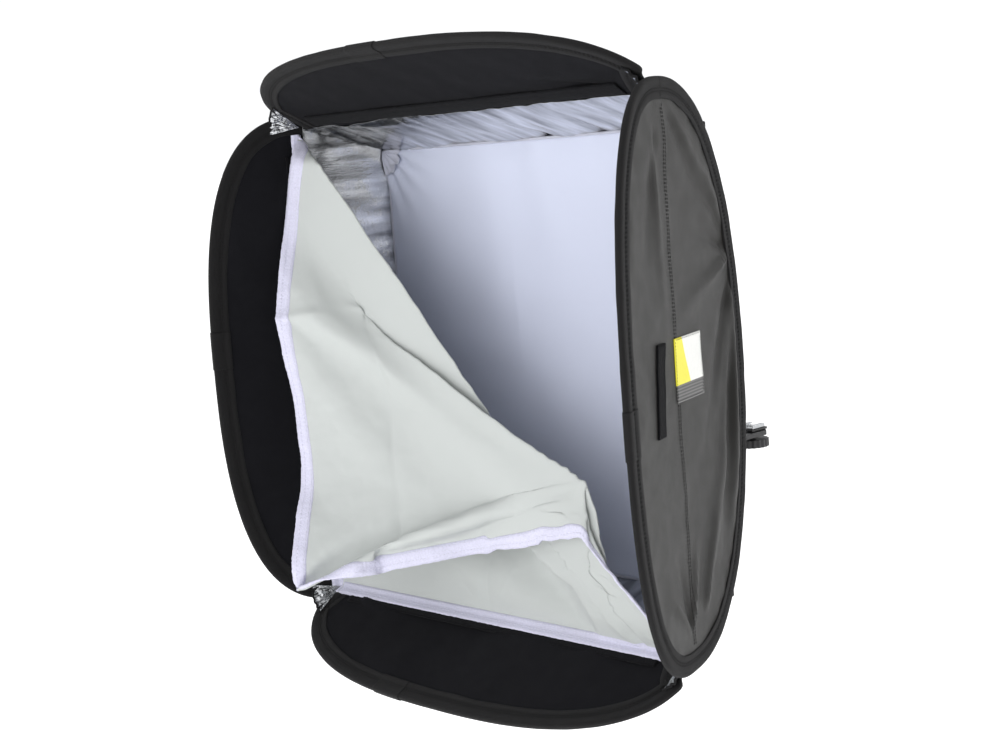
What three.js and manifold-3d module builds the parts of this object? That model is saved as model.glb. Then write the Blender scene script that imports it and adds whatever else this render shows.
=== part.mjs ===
// Studio softbox: four oval hoop panels, two diffusers, a rear cover on a speed ring,
// and the bracket with its cold shoe, tilt head and stand receiver. Millimetres, +Z up, front faces -Y.
// The origin is the centre of the stand socket's mouth.
import * as THREE from 'three';
import { mergeVertices } from 'three/addons/utils/BufferGeometryUtils.js';
import Module from 'manifold-3d';

const wasm = await Module();
wasm.setup();

// Driving dimensions of the fabric box
const OPENING = 540;                 // side of the square where the front diffuser fastens
const HALF = OPENING / 2;
const HOOP_HALF_LENGTH = 282;        // half of each oval, along the diffuser's edge
const LIP_DEPTH = 128;               // how far the oval stands in front of the diffuser's edge
const TAIL_DEPTH = 174;              // how far it reaches behind that edge
const LIP_SQUARENESS = 2.64;         // superellipse exponents of the two halves
const TAIL_SQUARENESS = 2.2;
const SIDE_LIP_FLARE = THREE.MathUtils.degToRad(20);
const TOP_LIP_FLARE = THREE.MathUtils.degToRad(33);
const TAIL_FLARE = THREE.MathUtils.degToRad(18);
const OUTLINE_ROWS = 25;             // rows along an oval, odd so one lies on the edge line
const CORNER_CLEARANCE = 8;          // top and bottom hoops stop this far short of the side hoops

// Layers of a panel, as distances inward from the outline and heights off its middle surface
const BINDING = { width: 21, wall: 0.7, inside: 2.6, outside: 3.2 };
const HOOP = { inset: 1.9, thickness: 1.2, halfWidth: 1.8 };
const FERRULE = { inset: 1.2, depth: 2.7, halfWidth: 2.35, wall: 0.4, boreHalf: 2.0 };
const CLOTH_INSET = 5;
const CLOTH = { near: 1.6, far: 2.2 };
const SEAM_GAP = 1;

const SPEED_RING = { bore: 62, radius: 75, front: 262, back: 290, flange: 88, flangeThickness: 5 };
const COLLAR = { inner: 75.6, outer: 78.6, front: 258, back: 282 };
const COVER_END = { radius: 80.2, y: 272, thickness: 0.9 };

const INNER_DIFFUSER = { half: 226, y: 94, thickness: 1, corner: 24, tab: 4 };
const FRONT_DIFFUSER = { half: 262, back: -4.6, thickness: 1, hem: 21, hemThickness: 1.2 };
const FLAP_REST_ANGLE = THREE.MathUtils.degToRad(162);
// The fold runs from the top left corner down to this height on the right edge
const FOLD = { y: -11, rightEnd: -184, gap: 4 };
const LOOP_STRIP = { halfLength: 236, front: 22, back: 3, near: -2.5, far: -3.7 };
const LABEL = { halfLength: 31, centre: 10, front: -2, back: -60, thickness: 0.6 };
const OUTER_STRIP = { halfLength: 43, centre: -4, front: 55, back: 34, thickness: 1.2 };
const GUSSET_CORNERS = [[265.4, -6, 268.8], [278.6, -37, 261.8], [264, -41, 291.5]];
const GUSSET_HALF_THICKNESS = 0.4;

// Driving dimensions of the bracket
const STAND_Y = 330;                 // the stand's axis behind the diffuser's edge
const SOCKET_Z = 280;                // the box's axis above the socket's mouth
const PIVOT_Z = 85;
const ARM = { halfWidth: 17, front: 296.6, back: 462, bottom: -147, top: -141 };
const SLOT = { halfWidth: 4.2, front: 376, back: 456 };
const SHOE_Y = 446;
const RING_SCREW = { radius: 2.5, x: 20, z: -78.5, headRadius: 8, headDepth: 9 };
const PLATE_THICKNESS = 4;
const CARRIAGE = { halfWidth: 13, halfLength: 15, thickness: 3, stemRadius: 3.9 };
const KNOB = { radius: 21, depth: 10, below: 4 };
const EAR = { inner: 9, outer: 15, radius: 17 };
const PIVOT_RADIUS = 4;
const SOCKET = { bore: 8, radius: 16, depth: 42, top: 60 };
const LOCK = { z: 20, radius: 3, headRadius: 12, headFrom: 22, headDepth: 10 };
const GAP = 0.3;

const COLOURS = {
  nylon: [0x3a3a39, 0.62, 0.0],
  lipCloth: [0x17171b, 0.85, 0.0],
  binding: [0x1d1c1c, 0.8, 0.0],
  silver: [0xb9bcc0, 0.25, 0.9],
  spring: [0x8d9196, 0.35, 0.9],
  diffuser: [0xc8cdcb, 0.85, 0.0],
  innerDiffuser: [0xb9bed7, 0.85, 0.0],
  hem: [0xd2d2e4, 0.9, 0.0],
  metal: [0x1b1b1d, 0.45, 0.6],
  plastic: [0x202022, 0.55, 0.0],
  plate: [0xa8abae, 0.3, 0.9],
  label: [0xe6df2e, 0.6, 0.0],
};

const group = new THREE.Group();
const box = new THREE.Group();
box.position.set(0, -STAND_Y, SOCKET_Z);
group.add(box);

function addMesh(parent, name, geometry, colour) {
  const [color, roughness, metalness] = COLOURS[colour];
  const mesh = new THREE.Mesh(geometry, new THREE.MeshStandardMaterial({ color, roughness, metalness }));
  mesh.name = name;
  parent.add(mesh);
  return mesh;
}

// Closed geometry from points and triangles, turned so that its faces point out
function closedGeometry(points, triangles) {
  let volume = 0;
  for (const [a, b, c] of triangles) {
    volume += points[a].dot(points[b].clone().cross(points[c]));
  }
  const index = volume > 0 ? triangles.flat() : triangles.flatMap(([a, b, c]) => [a, c, b]);
  const geometry = new THREE.BufferGeometry();
  const coordinates = points.flatMap((p) => [p.x, p.y, p.z]);
  geometry.setAttribute('position', new THREE.Float32BufferAttribute(coordinates, 3));
  geometry.setIndex(index);
  geometry.computeVertexNormals();
  return geometry;
}

// Rings of equal point counts, joined one to the next and the last to the first
function ringOfRings(rings) {
  const count = rings[0].length;
  const triangles = [];
  rings.forEach((ring, i) => {
    const next = ((i + 1) % rings.length) * count;
    for (let k = 0; k < count; k += 1) {
      const l = (k + 1) % count;
      triangles.push([i * count + k, next + k, next + l], [i * count + k, next + l, i * count + l]);
    }
  });
  return closedGeometry(rings.flat(), triangles);
}

// A sheet between two grids of points, near[row][column] and far[row][column]
function sheet(near, far) {
  const rows = near.length;
  const columns = near[0].length;
  const at = (face, row, column) => face * rows * columns + row * columns + column;
  const triangles = [];
  const quad = (a, b, c, d) => triangles.push([a, b, c], [a, c, d]);
  for (let r = 0; r + 1 < rows; r += 1) {
    for (let c = 0; c + 1 < columns; c += 1) {
      quad(at(0, r, c), at(0, r + 1, c), at(0, r + 1, c + 1), at(0, r, c + 1));
      quad(at(1, r, c), at(1, r, c + 1), at(1, r + 1, c + 1), at(1, r + 1, c));
    }
    quad(at(0, r, 0), at(1, r, 0), at(1, r + 1, 0), at(0, r + 1, 0));
    const last = columns - 1;
    quad(at(0, r, last), at(0, r + 1, last), at(1, r + 1, last), at(1, r, last));
  }
  for (let c = 0; c + 1 < columns; c += 1) {
    quad(at(0, 0, c), at(0, 0, c + 1), at(1, 0, c + 1), at(1, 0, c));
    const end = rows - 1;
    quad(at(0, end, c), at(1, end, c), at(1, end, c + 1), at(0, end, c + 1));
  }
  return closedGeometry([...near.flat(2), ...far.flat(2)], triangles);
}

function toManifold(geometry) {
  const bare = geometry.clone();
  bare.deleteAttribute('normal');
  bare.deleteAttribute('uv');
  const merged = mergeVertices(bare, 1e-4);
  const vertProperties = new Float32Array(merged.attributes.position.array);
  const triVerts = new Uint32Array(merged.index.array);
  return new wasm.Manifold(new wasm.Mesh({ numProp: 3, vertProperties, triVerts }));
}

function fromManifold(solid) {
  const mesh = solid.getMesh();
  const geometry = new THREE.BufferGeometry();
  geometry.setAttribute('position', new THREE.Float32BufferAttribute(mesh.vertProperties, 3));
  geometry.setIndex([...mesh.triVerts]);
  geometry.computeVertexNormals();
  return geometry;
}

function boxBetween(low, high) {
  const size = high.map((value, i) => value - low[i]);
  const geometry = new THREE.BoxGeometry(...size);
  geometry.translate(...low.map((value, i) => value + size[i] / 2));
  return geometry;
}

// A cylinder along x, y or z between two stations on that axis, centred on the other two
function cylinder(axis, radius, from, to, centre, segments = 24) {
  const geometry = new THREE.CylinderGeometry(radius, radius, to - from, segments);
  geometry.translate(0, (from + to) / 2, 0);
  if (axis === 'x') geometry.rotateZ(-Math.PI / 2);
  if (axis === 'z') geometry.rotateX(Math.PI / 2);
  geometry.translate(...centre);
  return geometry;
}

// ---- Panels ----

const SIDES = {
  right: { place: (u, y, out) => new THREE.Vector3(out, y, u), lipFlare: SIDE_LIP_FLARE, trimmed: false },
  left: { place: (u, y, out) => new THREE.Vector3(-out, y, u), lipFlare: SIDE_LIP_FLARE, trimmed: false },
  top: { place: (u, y, out) => new THREE.Vector3(u, y, out), lipFlare: TOP_LIP_FLARE, trimmed: true },
  bottom: { place: (u, y, out) => new THREE.Vector3(u, y, -out), lipFlare: TOP_LIP_FLARE, trimmed: true },
};
const CORNERS = [
  { name: 'top_right', signX: 1, signZ: 1 },
  { name: 'top_left', signX: -1, signZ: 1 },
  { name: 'bottom_left', signX: -1, signZ: -1 },
  { name: 'bottom_right', signX: 1, signZ: -1 },
];

// Point of a panel: along the diffuser's edge, slant distance in front of it, height off the middle surface
function onPanel(side, along, slant, height) {
  const { place, lipFlare } = SIDES[side];
  const kink = (lipFlare - TAIL_FLARE) / 2;
  let angle = slant > 0 ? lipFlare : TAIL_FLARE;
  let lift = height;
  if (slant === 0) {
    angle = TAIL_FLARE + kink;
    lift = height / Math.cos(kink);
  }
  const out = HALF + slant * Math.sin(angle) + lift * Math.cos(angle);
  const y = -slant * Math.cos(angle) + lift * Math.sin(angle);
  return place(along, y, out);
}

// Where a side panel's inner face cuts the length of a top or bottom hoop
function cornerLimit(slant) {
  const flare = slant > 0 ? SIDE_LIP_FLARE : TAIL_FLARE;
  const freeStart = 28;
  return HALF + slant * Math.sin(flare) - CORNER_CLEARANCE + 1.5 * Math.max(0, slant - freeStart);
}

// Right half of a panel's outline, from the back to the front
function halfOutline(side) {
  const points = [];
  const middle = (OUTLINE_ROWS - 1) / 2;
  for (let row = 0; row < OUTLINE_ROWS; row += 1) {
    const angle = ((row - middle) * Math.PI) / OUTLINE_ROWS;
    const squareness = angle > 0 ? LIP_SQUARENESS : TAIL_SQUARENESS;
    const depth = angle > 0 ? LIP_DEPTH : TAIL_DEPTH;
    const slant = Math.sign(row - middle) * depth * Math.abs(Math.sin(angle)) ** (2 / squareness);
    const natural = HOOP_HALF_LENGTH * Math.cos(angle) ** (2 / squareness);
    const along = SIDES[side].trimmed ? Math.min(natural, cornerLimit(slant)) : natural;
    points.push([along, slant]);
  }
  return points;
}

// The whole outline, moved inward by a distance; the row on the edge line stays on it
function insetOutline(side, distance) {
  const right = halfOutline(side);
  const left = right.map(([along, slant]) => [-along, slant]).reverse();
  const loop = [...right, ...left];
  return loop.map(([along, slant], i) => {
    const before = loop[(i + loop.length - 1) % loop.length];
    const after = loop[(i + 1) % loop.length];
    const edgeIn = new THREE.Vector2(along - before[0], slant - before[1]).normalize();
    const edgeOut = new THREE.Vector2(after[0] - along, after[1] - slant).normalize();
    const inward = new THREE.Vector2(-edgeIn.y - edgeOut.y, edgeIn.x + edgeOut.x).normalize();
    const spread = distance / Math.max(0.5, -edgeIn.y * inward.x + edgeIn.x * inward.y);
    return [along + inward.x * spread, slant === 0 ? 0 : slant + inward.y * spread];
  });
}

function sweepRound(side, section) {
  const loops = section.map(([inset, height]) => insetOutline(side, inset)
    .map(([along, slant]) => onPanel(side, along, slant, height)));
  return ringOfRings(loops[0].map((_, i) => loops.map((loop) => loop[i])));
}

// Cloth inside the binding between two slant distances, from height near to height far
function panelCloth(side, inset, fromSlant, toSlant, near, far) {
  const edge = insetOutline(side, inset).slice(0, OUTLINE_ROWS);
  const rows = [];
  edge.forEach(([along, slant], i) => {
    const inRange = slant >= fromSlant && slant <= toSlant;
    if (i > 0) {
      for (const cut of [fromSlant, toSlant]) {
        const [previousAlong, previousSlant] = edge[i - 1];
        if (previousSlant < cut && cut < slant) {
          const t = (cut - previousSlant) / (slant - previousSlant);
          rows.push([THREE.MathUtils.lerp(previousAlong, along, t), cut]);
        }
      }
    }
    if (inRange) rows.push([along, slant]);
  });
  const face = (height) => rows.map(([along, slant]) => [
    onPanel(side, -along, slant, height), onPanel(side, along, slant, height),
  ]);
  return sheet(face(near), face(far));
}

// Straight strip sewn to a panel, between heights near and far
function strip(side, { halfLength, back, front, centre = 0 }, near, far) {
  const ends = [centre - halfLength, centre + halfLength];
  const face = (height) => [back, front].map((slant) => ends.map((u) => onPanel(side, u, slant, height)));
  return sheet(face(near), face(far));
}

// Crimped sleeve where the two ends of the spring hoop meet, at the middle of the front edge
function ferrule(side) {
  const front = halfOutline(side)[OUTLINE_ROWS - 1][1];
  const corners = (inset, depth, half) => [
    [inset, -half], [inset + depth, -half], [inset + depth, half], [inset, half],
  ];
  const outer = corners(FERRULE.inset, FERRULE.depth, FERRULE.halfWidth);
  const inner = corners(FERRULE.inset + FERRULE.wall, FERRULE.depth - 2 * FERRULE.wall, FERRULE.boreHalf);
  const halfLength = 12;
  const ring = (section, along) => section.map(([inset, h]) => onPanel(side, along, front - inset, h));
  return ringOfRings([
    ring(outer, -halfLength), ring(outer, halfLength), ring(inner, halfLength), ring(inner, -halfLength),
  ]);
}

const bindingSection = [
  [0, -BINDING.outside], [BINDING.width, -BINDING.outside],
  [BINDING.width, -BINDING.inside], [BINDING.wall, -BINDING.inside],
  [BINDING.wall, BINDING.inside], [BINDING.width, BINDING.inside],
  [BINDING.width, BINDING.outside], [0, BINDING.outside],
];
const hoopSection = [
  [HOOP.inset, -HOOP.halfWidth], [HOOP.inset + HOOP.thickness, -HOOP.halfWidth],
  [HOOP.inset + HOOP.thickness, HOOP.halfWidth], [HOOP.inset, HOOP.halfWidth],
];

// One of the four facets of cloth from a panel's back edge to the collar on the speed ring
function rearCover(side) {
  const { place } = SIDES[side];
  const reach = 0.2 * OPENING;
  const edgeGap = 1.2;
  const loop = insetOutline(side, -edgeGap);
  const right = loop.slice(0, OUTLINE_ROWS).filter(([, slant]) => slant < -reach);
  const edge = [...right.map(([u, slant]) => [-u, slant]).reverse(), ...right];
  const widest = right[right.length - 1][0];
  const steps = [0, 0.5, 1];
  const seam = 0.8;
  const face = (height, radius) => edge.map(([along, slant]) => {
    const out = HALF + slant * Math.sin(TAIL_FLARE) + height * Math.cos(TAIL_FLARE);
    const y = -slant * Math.cos(TAIL_FLARE) + height * Math.sin(TAIL_FLARE);
    const turn = (along / widest) * (Math.PI / 4);
    return steps.map((t) => {
      const outHere = THREE.MathUtils.lerp(out, radius * Math.cos(turn), t);
      const alongHere = THREE.MathUtils.lerp(along, radius * Math.sin(turn), t);
      const limit = outHere - seam;
      const clamped = THREE.MathUtils.clamp(alongHere, -limit, limit);
      return place(clamped, THREE.MathUtils.lerp(y, COVER_END.y, t), outHere);
    });
  });
  return sheet(face(0.1, COVER_END.radius + COVER_END.thickness), face(-0.8, COVER_END.radius));
}

for (const side of Object.keys(SIDES)) {
  const tail = -TAIL_DEPTH;
  addMesh(box, `${side}_hoop`, sweepRound(side, hoopSection), 'spring');
  addMesh(box, `${side}_hoop_ferrule`, ferrule(side), 'plate');
  addMesh(box, `${side}_binding`, sweepRound(side, bindingSection), 'binding');
  const shell = panelCloth(side, CLOTH_INSET, tail, LIP_DEPTH, CLOTH.near, CLOTH.far);
  addMesh(box, `${side}_outer_cloth`, shell, 'nylon');
  const lip = panelCloth(side, CLOTH_INSET, SEAM_GAP, LIP_DEPTH, -CLOTH.far, -CLOTH.near);
  addMesh(box, `${side}_lip_lining`, lip, 'lipCloth');
  const lining = panelCloth(side, CLOTH_INSET, tail, -SEAM_GAP, -CLOTH.far, -CLOTH.near);
  addMesh(box, `${side}_silver_lining`, lining, 'silver');
  const loops = strip(side, LOOP_STRIP, LOOP_STRIP.far, LOOP_STRIP.near);
  addMesh(box, `${side}_loop_strip`, loops, 'lipCloth');
  addMesh(box, `${side}_rear_cover`, rearCover(side), 'nylon');
}

// Silver gusset in each front corner, from the end of a side lip to the end of the top or bottom lip
function cornerGusset(signX, signZ) {
  const corners = GUSSET_CORNERS.map((p) => new THREE.Vector3(...p));
  const toSide = corners[1].clone().sub(corners[0]);
  const toTop = corners[2].clone().sub(corners[0]);
  const offset = toSide.cross(toTop).setLength(GUSSET_HALF_THICKNESS);
  const points = [...corners.map((p) => p.clone().add(offset)), ...corners.map((p) => p.clone().sub(offset))];
  const mirrored = points.map((p) => new THREE.Vector3(signX * p.x, p.y, signZ * p.z));
  const triangles = [[0, 1, 2], [3, 5, 4]];
  for (const [a, b] of [[0, 1], [1, 2], [2, 0]]) triangles.push([a, a + 3, b + 3], [a, b + 3, b]);
  return closedGeometry(mirrored, triangles);
}

for (const { name, signX, signZ } of CORNERS) {
  addMesh(box, `${name}_gusset`, cornerGusset(signX, signZ), 'silver');
}

// ---- Diffusers ----

// Flat plate from an outline in x and z, between two depths along y
function plate(outline, fromY, toY, holes = []) {
  const shape = new THREE.Shape(outline.map(([x, z]) => new THREE.Vector2(x, z)));
  for (const hole of holes) shape.holes.push(new THREE.Path(hole.map(([x, z]) => new THREE.Vector2(x, z))));
  const geometry = new THREE.ExtrudeGeometry(shape, { depth: toY - fromY, bevelEnabled: false });
  geometry.rotateX(Math.PI / 2);
  geometry.translate(0, toY, 0);
  return geometry;
}

const inner = INNER_DIFFUSER;
const tabReach = inner.half + inner.tab;
const tabWidth = 7;
const innerOutline = [];
for (const { signX, signZ } of CORNERS) {
  const corner = [
    [inner.half, inner.half - inner.corner], [tabReach, tabReach - tabWidth],
    [tabReach - tabWidth, tabReach], [inner.half - inner.corner, inner.half],
  ];
  const ordered = signX * signZ > 0 ? corner : [...corner].reverse();
  innerOutline.push(...ordered.map(([x, z]) => [signX * x, signZ * z]));
}
addMesh(box, 'inner_diffuser', plate(innerOutline, inner.y, inner.y + inner.thickness), 'innerDiffuser');

// The front diffuser: the part still fastened along the left, bottom and lower right edges
const front = FRONT_DIFFUSER;
const frontY = front.back - front.thickness;
const h = front.half;
const w = front.hem;
const hemEnd = 1.5 * w;
const foldRight = FOLD.rightEnd;
const fastenedEnd = foldRight - FOLD.gap;
const fastened = [[-h, h - FOLD.gap], [-h, -h], [h, -h], [h, fastenedEnd]];
addMesh(box, 'front_diffuser', plate(fastened, frontY, front.back), 'diffuser');
const hemBack = frontY - GAP;
const hemFront = hemBack - front.hemThickness;
const hems = {
  bottom: [[-h, -h], [h, -h], [h - w, -h + w], [-h + w, -h + w]],
  left: [[-h, -h + GAP], [-h + w - GAP, -h + w], [-h + w - GAP, h - hemEnd], [-h, h - hemEnd]],
  right: [[h, -h + GAP], [h, fastenedEnd], [h - w + GAP, fastenedEnd], [h - w + GAP, -h + w]],
};
for (const [edge, outline] of Object.entries(hems)) {
  addMesh(box, `diffuser_hem_${edge}`, plate(outline, hemFront, hemBack), 'hem');
}

// The released part, made closed and then turned about the fold
const foldAxis = new THREE.Vector3(2 * h, 0, foldRight - h).normalize();
function foldOver(geometry) {
  geometry.translate(h, -FOLD.y, -h);
  geometry.applyMatrix4(new THREE.Matrix4().makeRotationAxis(foldAxis, FLAP_REST_ANGLE));
  geometry.translate(-h, FOLD.y, h);
  return geometry;
}

const foldStart = (FOLD.gap * 2 * h) / (h - foldRight);
const released = [[h, h], [h, foldRight + FOLD.gap], [-h + foldStart, h]];
addMesh(box, 'diffuser_flap', foldOver(plate(released, frontY, front.back)), 'diffuser');
const flapHems = {
  top: [[h, h], [h - w, h - w], [-h + hemEnd, h - w], [-h + hemEnd, h]],
  right: [[h, h - GAP], [h, foldRight + hemEnd], [h - w + GAP, foldRight + hemEnd], [h - w + GAP, h - w]],
};
for (const [edge, outline] of Object.entries(flapHems)) {
  addMesh(box, `flap_hem_${edge}`, foldOver(plate(outline, hemFront, hemBack)), 'hem');
}

// ---- Label and outer strip on the right panel ----

const outerNear = BINDING.inside + 0.1;
addMesh(box, 'label', strip('right', LABEL, outerNear, outerNear + LABEL.thickness), 'label');
const outerStrip = strip('right', OUTER_STRIP, outerNear, outerNear + OUTER_STRIP.thickness);
addMesh(box, 'outer_hook_strip', outerStrip, 'lipCloth');

// ---- Speed ring, collar and bracket ----

const ring = SPEED_RING;
const ringProfile = [
  [ring.bore, ring.front], [ring.radius, ring.front], [ring.radius, ring.back - ring.flangeThickness],
  [ring.flange, ring.back - ring.flangeThickness], [ring.flange, ring.back],
  [ring.bore, ring.back], [ring.bore, ring.front],
].map(([r, y]) => new THREE.Vector2(r, y));
const screwRadius = RING_SCREW.radius;
const screwPlaces = [[-RING_SCREW.x, RING_SCREW.z], [RING_SCREW.x, RING_SCREW.z]];
let ringSolid = toManifold(new THREE.LatheGeometry(ringProfile, 40));
for (const [x, z] of screwPlaces) {
  const screwBore = cylinder('y', screwRadius + GAP, ring.front, ring.back + 1, [x, 0, z], 16);
  ringSolid = ringSolid.subtract(toManifold(screwBore));
}
addMesh(box, 'speed_ring', fromManifold(ringSolid), 'metal');

const collarProfile = [
  [COLLAR.inner, COLLAR.front], [COLLAR.outer, COLLAR.front], [COLLAR.outer, COLLAR.back],
  [COLLAR.inner, COLLAR.back], [COLLAR.inner, COLLAR.front],
].map(([r, y]) => new THREE.Vector2(r, y));
addMesh(box, 'rear_collar', new THREE.LatheGeometry(collarProfile, 40), 'binding');

// Upright plate behind the ring, its top edge following the ring's bore
const plateBack = ring.back + GAP + PLATE_THICKNESS;
const upStart = -0.25 * Math.PI;
const upOutline = [];
for (let i = 0; i <= 8; i += 1) {
  const angle = -0.5 * Math.PI + upStart + (i / 8) * 0.5 * Math.PI;
  upOutline.push([(ring.bore + 2) * Math.cos(angle), (ring.bore + 2) * Math.sin(angle)]);
}
upOutline.push([46, -62], [ARM.halfWidth, ARM.bottom], [-ARM.halfWidth, ARM.bottom], [-46, -62]);
const roundHole = ([x, z], radius) => Array.from({ length: 16 }, (_, i) => {
  const angle = ((i + 0.5) / 16) * 2 * Math.PI;
  return [x + radius * Math.cos(angle), z + radius * Math.sin(angle)];
});
const upHoles = screwPlaces.map((place) => roundHole(place, screwRadius + GAP));
addMesh(box, 'bracket_upright', plate(upOutline, ring.back + GAP, plateBack, upHoles), 'metal');

// Horizontal arm with the slot in which the cold shoe travels
const armShape = new THREE.Shape([
  [-ARM.halfWidth, ARM.front], [ARM.halfWidth, ARM.front], [ARM.halfWidth, ARM.back - 8],
  [ARM.halfWidth - 8, ARM.back], [-ARM.halfWidth + 8, ARM.back], [-ARM.halfWidth, ARM.back - 8],
].map(([x, y]) => new THREE.Vector2(x, y)));
armShape.holes.push(new THREE.Path([
  [-SLOT.halfWidth, SLOT.front], [-SLOT.halfWidth, SLOT.back],
  [SLOT.halfWidth, SLOT.back], [SLOT.halfWidth, SLOT.front],
].map(([x, y]) => new THREE.Vector2(x, y))));
const armGeometry = new THREE.ExtrudeGeometry(armShape, { depth: ARM.top - ARM.bottom, bevelEnabled: false });
armGeometry.translate(0, 0, ARM.bottom);
addMesh(box, 'slide_arm', armGeometry, 'metal');

function knurledHead(radius, depth, teeth) {
  const shape = new THREE.Shape();
  for (let i = 0; i < teeth * 2; i += 1) {
    const angle = (i / (teeth * 2)) * 2 * Math.PI;
    const r = i % 2 ? radius : radius * 0.93;
    const point = new THREE.Vector2(r * Math.cos(angle), r * Math.sin(angle));
    if (i === 0) shape.moveTo(point.x, point.y);
    else shape.lineTo(point.x, point.y);
  }
  return new THREE.ExtrudeGeometry(shape, { depth, bevelEnabled: false });
}

screwPlaces.forEach(([x, z], i) => {
  const head = knurledHead(RING_SCREW.headRadius, RING_SCREW.headDepth, 12);
  head.rotateX(-Math.PI / 2);
  head.translate(x, plateBack + GAP, z);
  const shaft = cylinder('y', screwRadius, ring.back - 4, plateBack + 2, [x, 0, z], 16);
  const screw = toManifold(head).add(toManifold(shaft));
  addMesh(box, `ring_screw_${i ? 'right' : 'left'}`, fromManifold(screw), 'plastic');
});

// ---- Cold shoe: a carriage on the arm, its metal plate, and the clamp knob below ----

const carriageTop = ARM.top + GAP + CARRIAGE.thickness;
const stem = cylinder('z', CARRIAGE.stemRadius, ARM.bottom - 3.5, ARM.top + 2, [0, SHOE_Y, 0], 16);
const base = boxBetween(
  [-CARRIAGE.halfWidth, SHOE_Y - CARRIAGE.halfLength, ARM.top + GAP],
  [CARRIAGE.halfWidth, SHOE_Y + CARRIAGE.halfLength, carriageTop],
);
addMesh(box, 'shoe_carriage', fromManifold(toManifold(base).add(toManifold(stem))), 'plastic');
const shoeProfile = [
  [-11.5, 0], [11.5, 0], [11.5, 4.4], [6.4, 4.4], [6.4, 3.4], [10, 3.4],
  [10, 1.2], [-10, 1.2], [-10, 3.4], [-6.4, 3.4], [-6.4, 4.4], [-11.5, 4.4],
].map(([x, z]) => [x, z + carriageTop + GAP]);
addMesh(box, 'cold_shoe', plate(shoeProfile, SHOE_Y - 12, SHOE_Y + 12), 'plate');
const carriageKnob = knurledHead(KNOB.radius, KNOB.depth, 20);
carriageKnob.translate(0, SHOE_Y, ARM.bottom - KNOB.below - KNOB.depth);
addMesh(box, 'carriage_knob', carriageKnob, 'plastic');

// ---- Tilt head, from the arm down to the stand socket ----

const armBottom = SOCKET_Z + ARM.bottom;

const tongueProfile = new THREE.Shape();
tongueProfile.absarc(0, 0, EAR.radius - 1, Math.PI, 2 * Math.PI, false);
tongueProfile.lineTo(EAR.radius - 1, armBottom - GAP - PIVOT_Z);
tongueProfile.lineTo(-EAR.radius + 1, armBottom - GAP - PIVOT_Z);
const tongueDepth = 2 * EAR.inner - 1;
const tongueOptions = { depth: tongueDepth, bevelEnabled: false, curveSegments: 14 };
const tongue = new THREE.ExtrudeGeometry(tongueProfile, tongueOptions);
tongue.rotateX(Math.PI / 2);
tongue.rotateZ(Math.PI / 2);
tongue.translate(-EAR.inner + 0.5, 0, PIVOT_Z);
const seat = boxBetween([-ARM.halfWidth, -22, armBottom - GAP - 8], [ARM.halfWidth, 26, armBottom - GAP]);
const pivotBore = cylinder('x', PIVOT_RADIUS + GAP, -40, 40, [0, 0, PIVOT_Z]);
const upperHead = toManifold(tongue).add(toManifold(seat)).subtract(toManifold(pivotBore));
addMesh(group, 'tilt_head_upper', fromManifold(upperHead), 'plastic');

const bodyProfile = [
  [SOCKET.bore, 0], [SOCKET.radius - 1.5, 0], [SOCKET.radius, 1.5], [SOCKET.radius, SOCKET.top],
  [0, SOCKET.top], [0, SOCKET.depth], [SOCKET.bore, SOCKET.depth], [SOCKET.bore, 0],
].map(([r, z]) => new THREE.Vector2(r, z));
let lowerHead = toManifold(new THREE.LatheGeometry(bodyProfile, 24).rotateX(Math.PI / 2));
const webHalf = EAR.radius - 3;
const bridge = boxBetween([-EAR.outer, -webHalf, SOCKET.top - 6], [EAR.outer, webHalf, PIVOT_Z - EAR.radius]);
lowerHead = lowerHead.add(toManifold(bridge));
for (const [from, to] of [[-EAR.outer, -EAR.inner], [EAR.inner, EAR.outer]]) {
  const web = boxBetween([from, -webHalf, SOCKET.top - 4], [to, webHalf, PIVOT_Z]);
  const ear = cylinder('x', EAR.radius, from, to, [0, 0, PIVOT_Z]);
  lowerHead = lowerHead.add(toManifold(web)).add(toManifold(ear));
}
const lockBore = cylinder('y', LOCK.radius + GAP, 0, 40, [0, 0, LOCK.z], 16);
lowerHead = lowerHead.subtract(toManifold(pivotBore)).subtract(toManifold(lockBore));
addMesh(group, 'stand_receiver', fromManifold(lowerHead), 'plastic');

const bolt = toManifold(cylinder('x', PIVOT_RADIUS, -EAR.outer - 3, 27, [0, 0, PIVOT_Z]))
  .add(toManifold(cylinder('x', 8, -EAR.outer - 6, -EAR.outer - GAP, [0, 0, PIVOT_Z], 6)));
addMesh(group, 'tilt_bolt', fromManifold(bolt), 'plate');

const leverHub = cylinder('x', 12, EAR.outer + GAP, 25, [0, 0, PIVOT_Z]);
const leverArm = boxBetween([EAR.outer + 2.6, 0, PIVOT_Z - 5], [24, 62, PIVOT_Z + 5]);
const lever = toManifold(leverHub).add(toManifold(leverArm)).subtract(toManifold(pivotBore));
addMesh(group, 'tilt_lever', fromManifold(lever), 'plastic');

const lockHead = knurledHead(LOCK.headRadius, LOCK.headDepth, 10);
lockHead.rotateX(-Math.PI / 2);
lockHead.translate(0, LOCK.headFrom, LOCK.z);
const lockShaft = cylinder('y', LOCK.radius, SOCKET.bore - 0.5, LOCK.headFrom + 2, [0, 0, LOCK.z], 16);
addMesh(group, 'receiver_screw', fromManifold(toManifold(lockHead).add(toManifold(lockShaft))), 'plastic');

export default group;
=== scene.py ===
"""Looks for the studio softbox: cloth, tape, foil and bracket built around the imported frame. Metres."""
import math

import bpy
import numpy as np
from mathutils import Matrix, Vector


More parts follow.
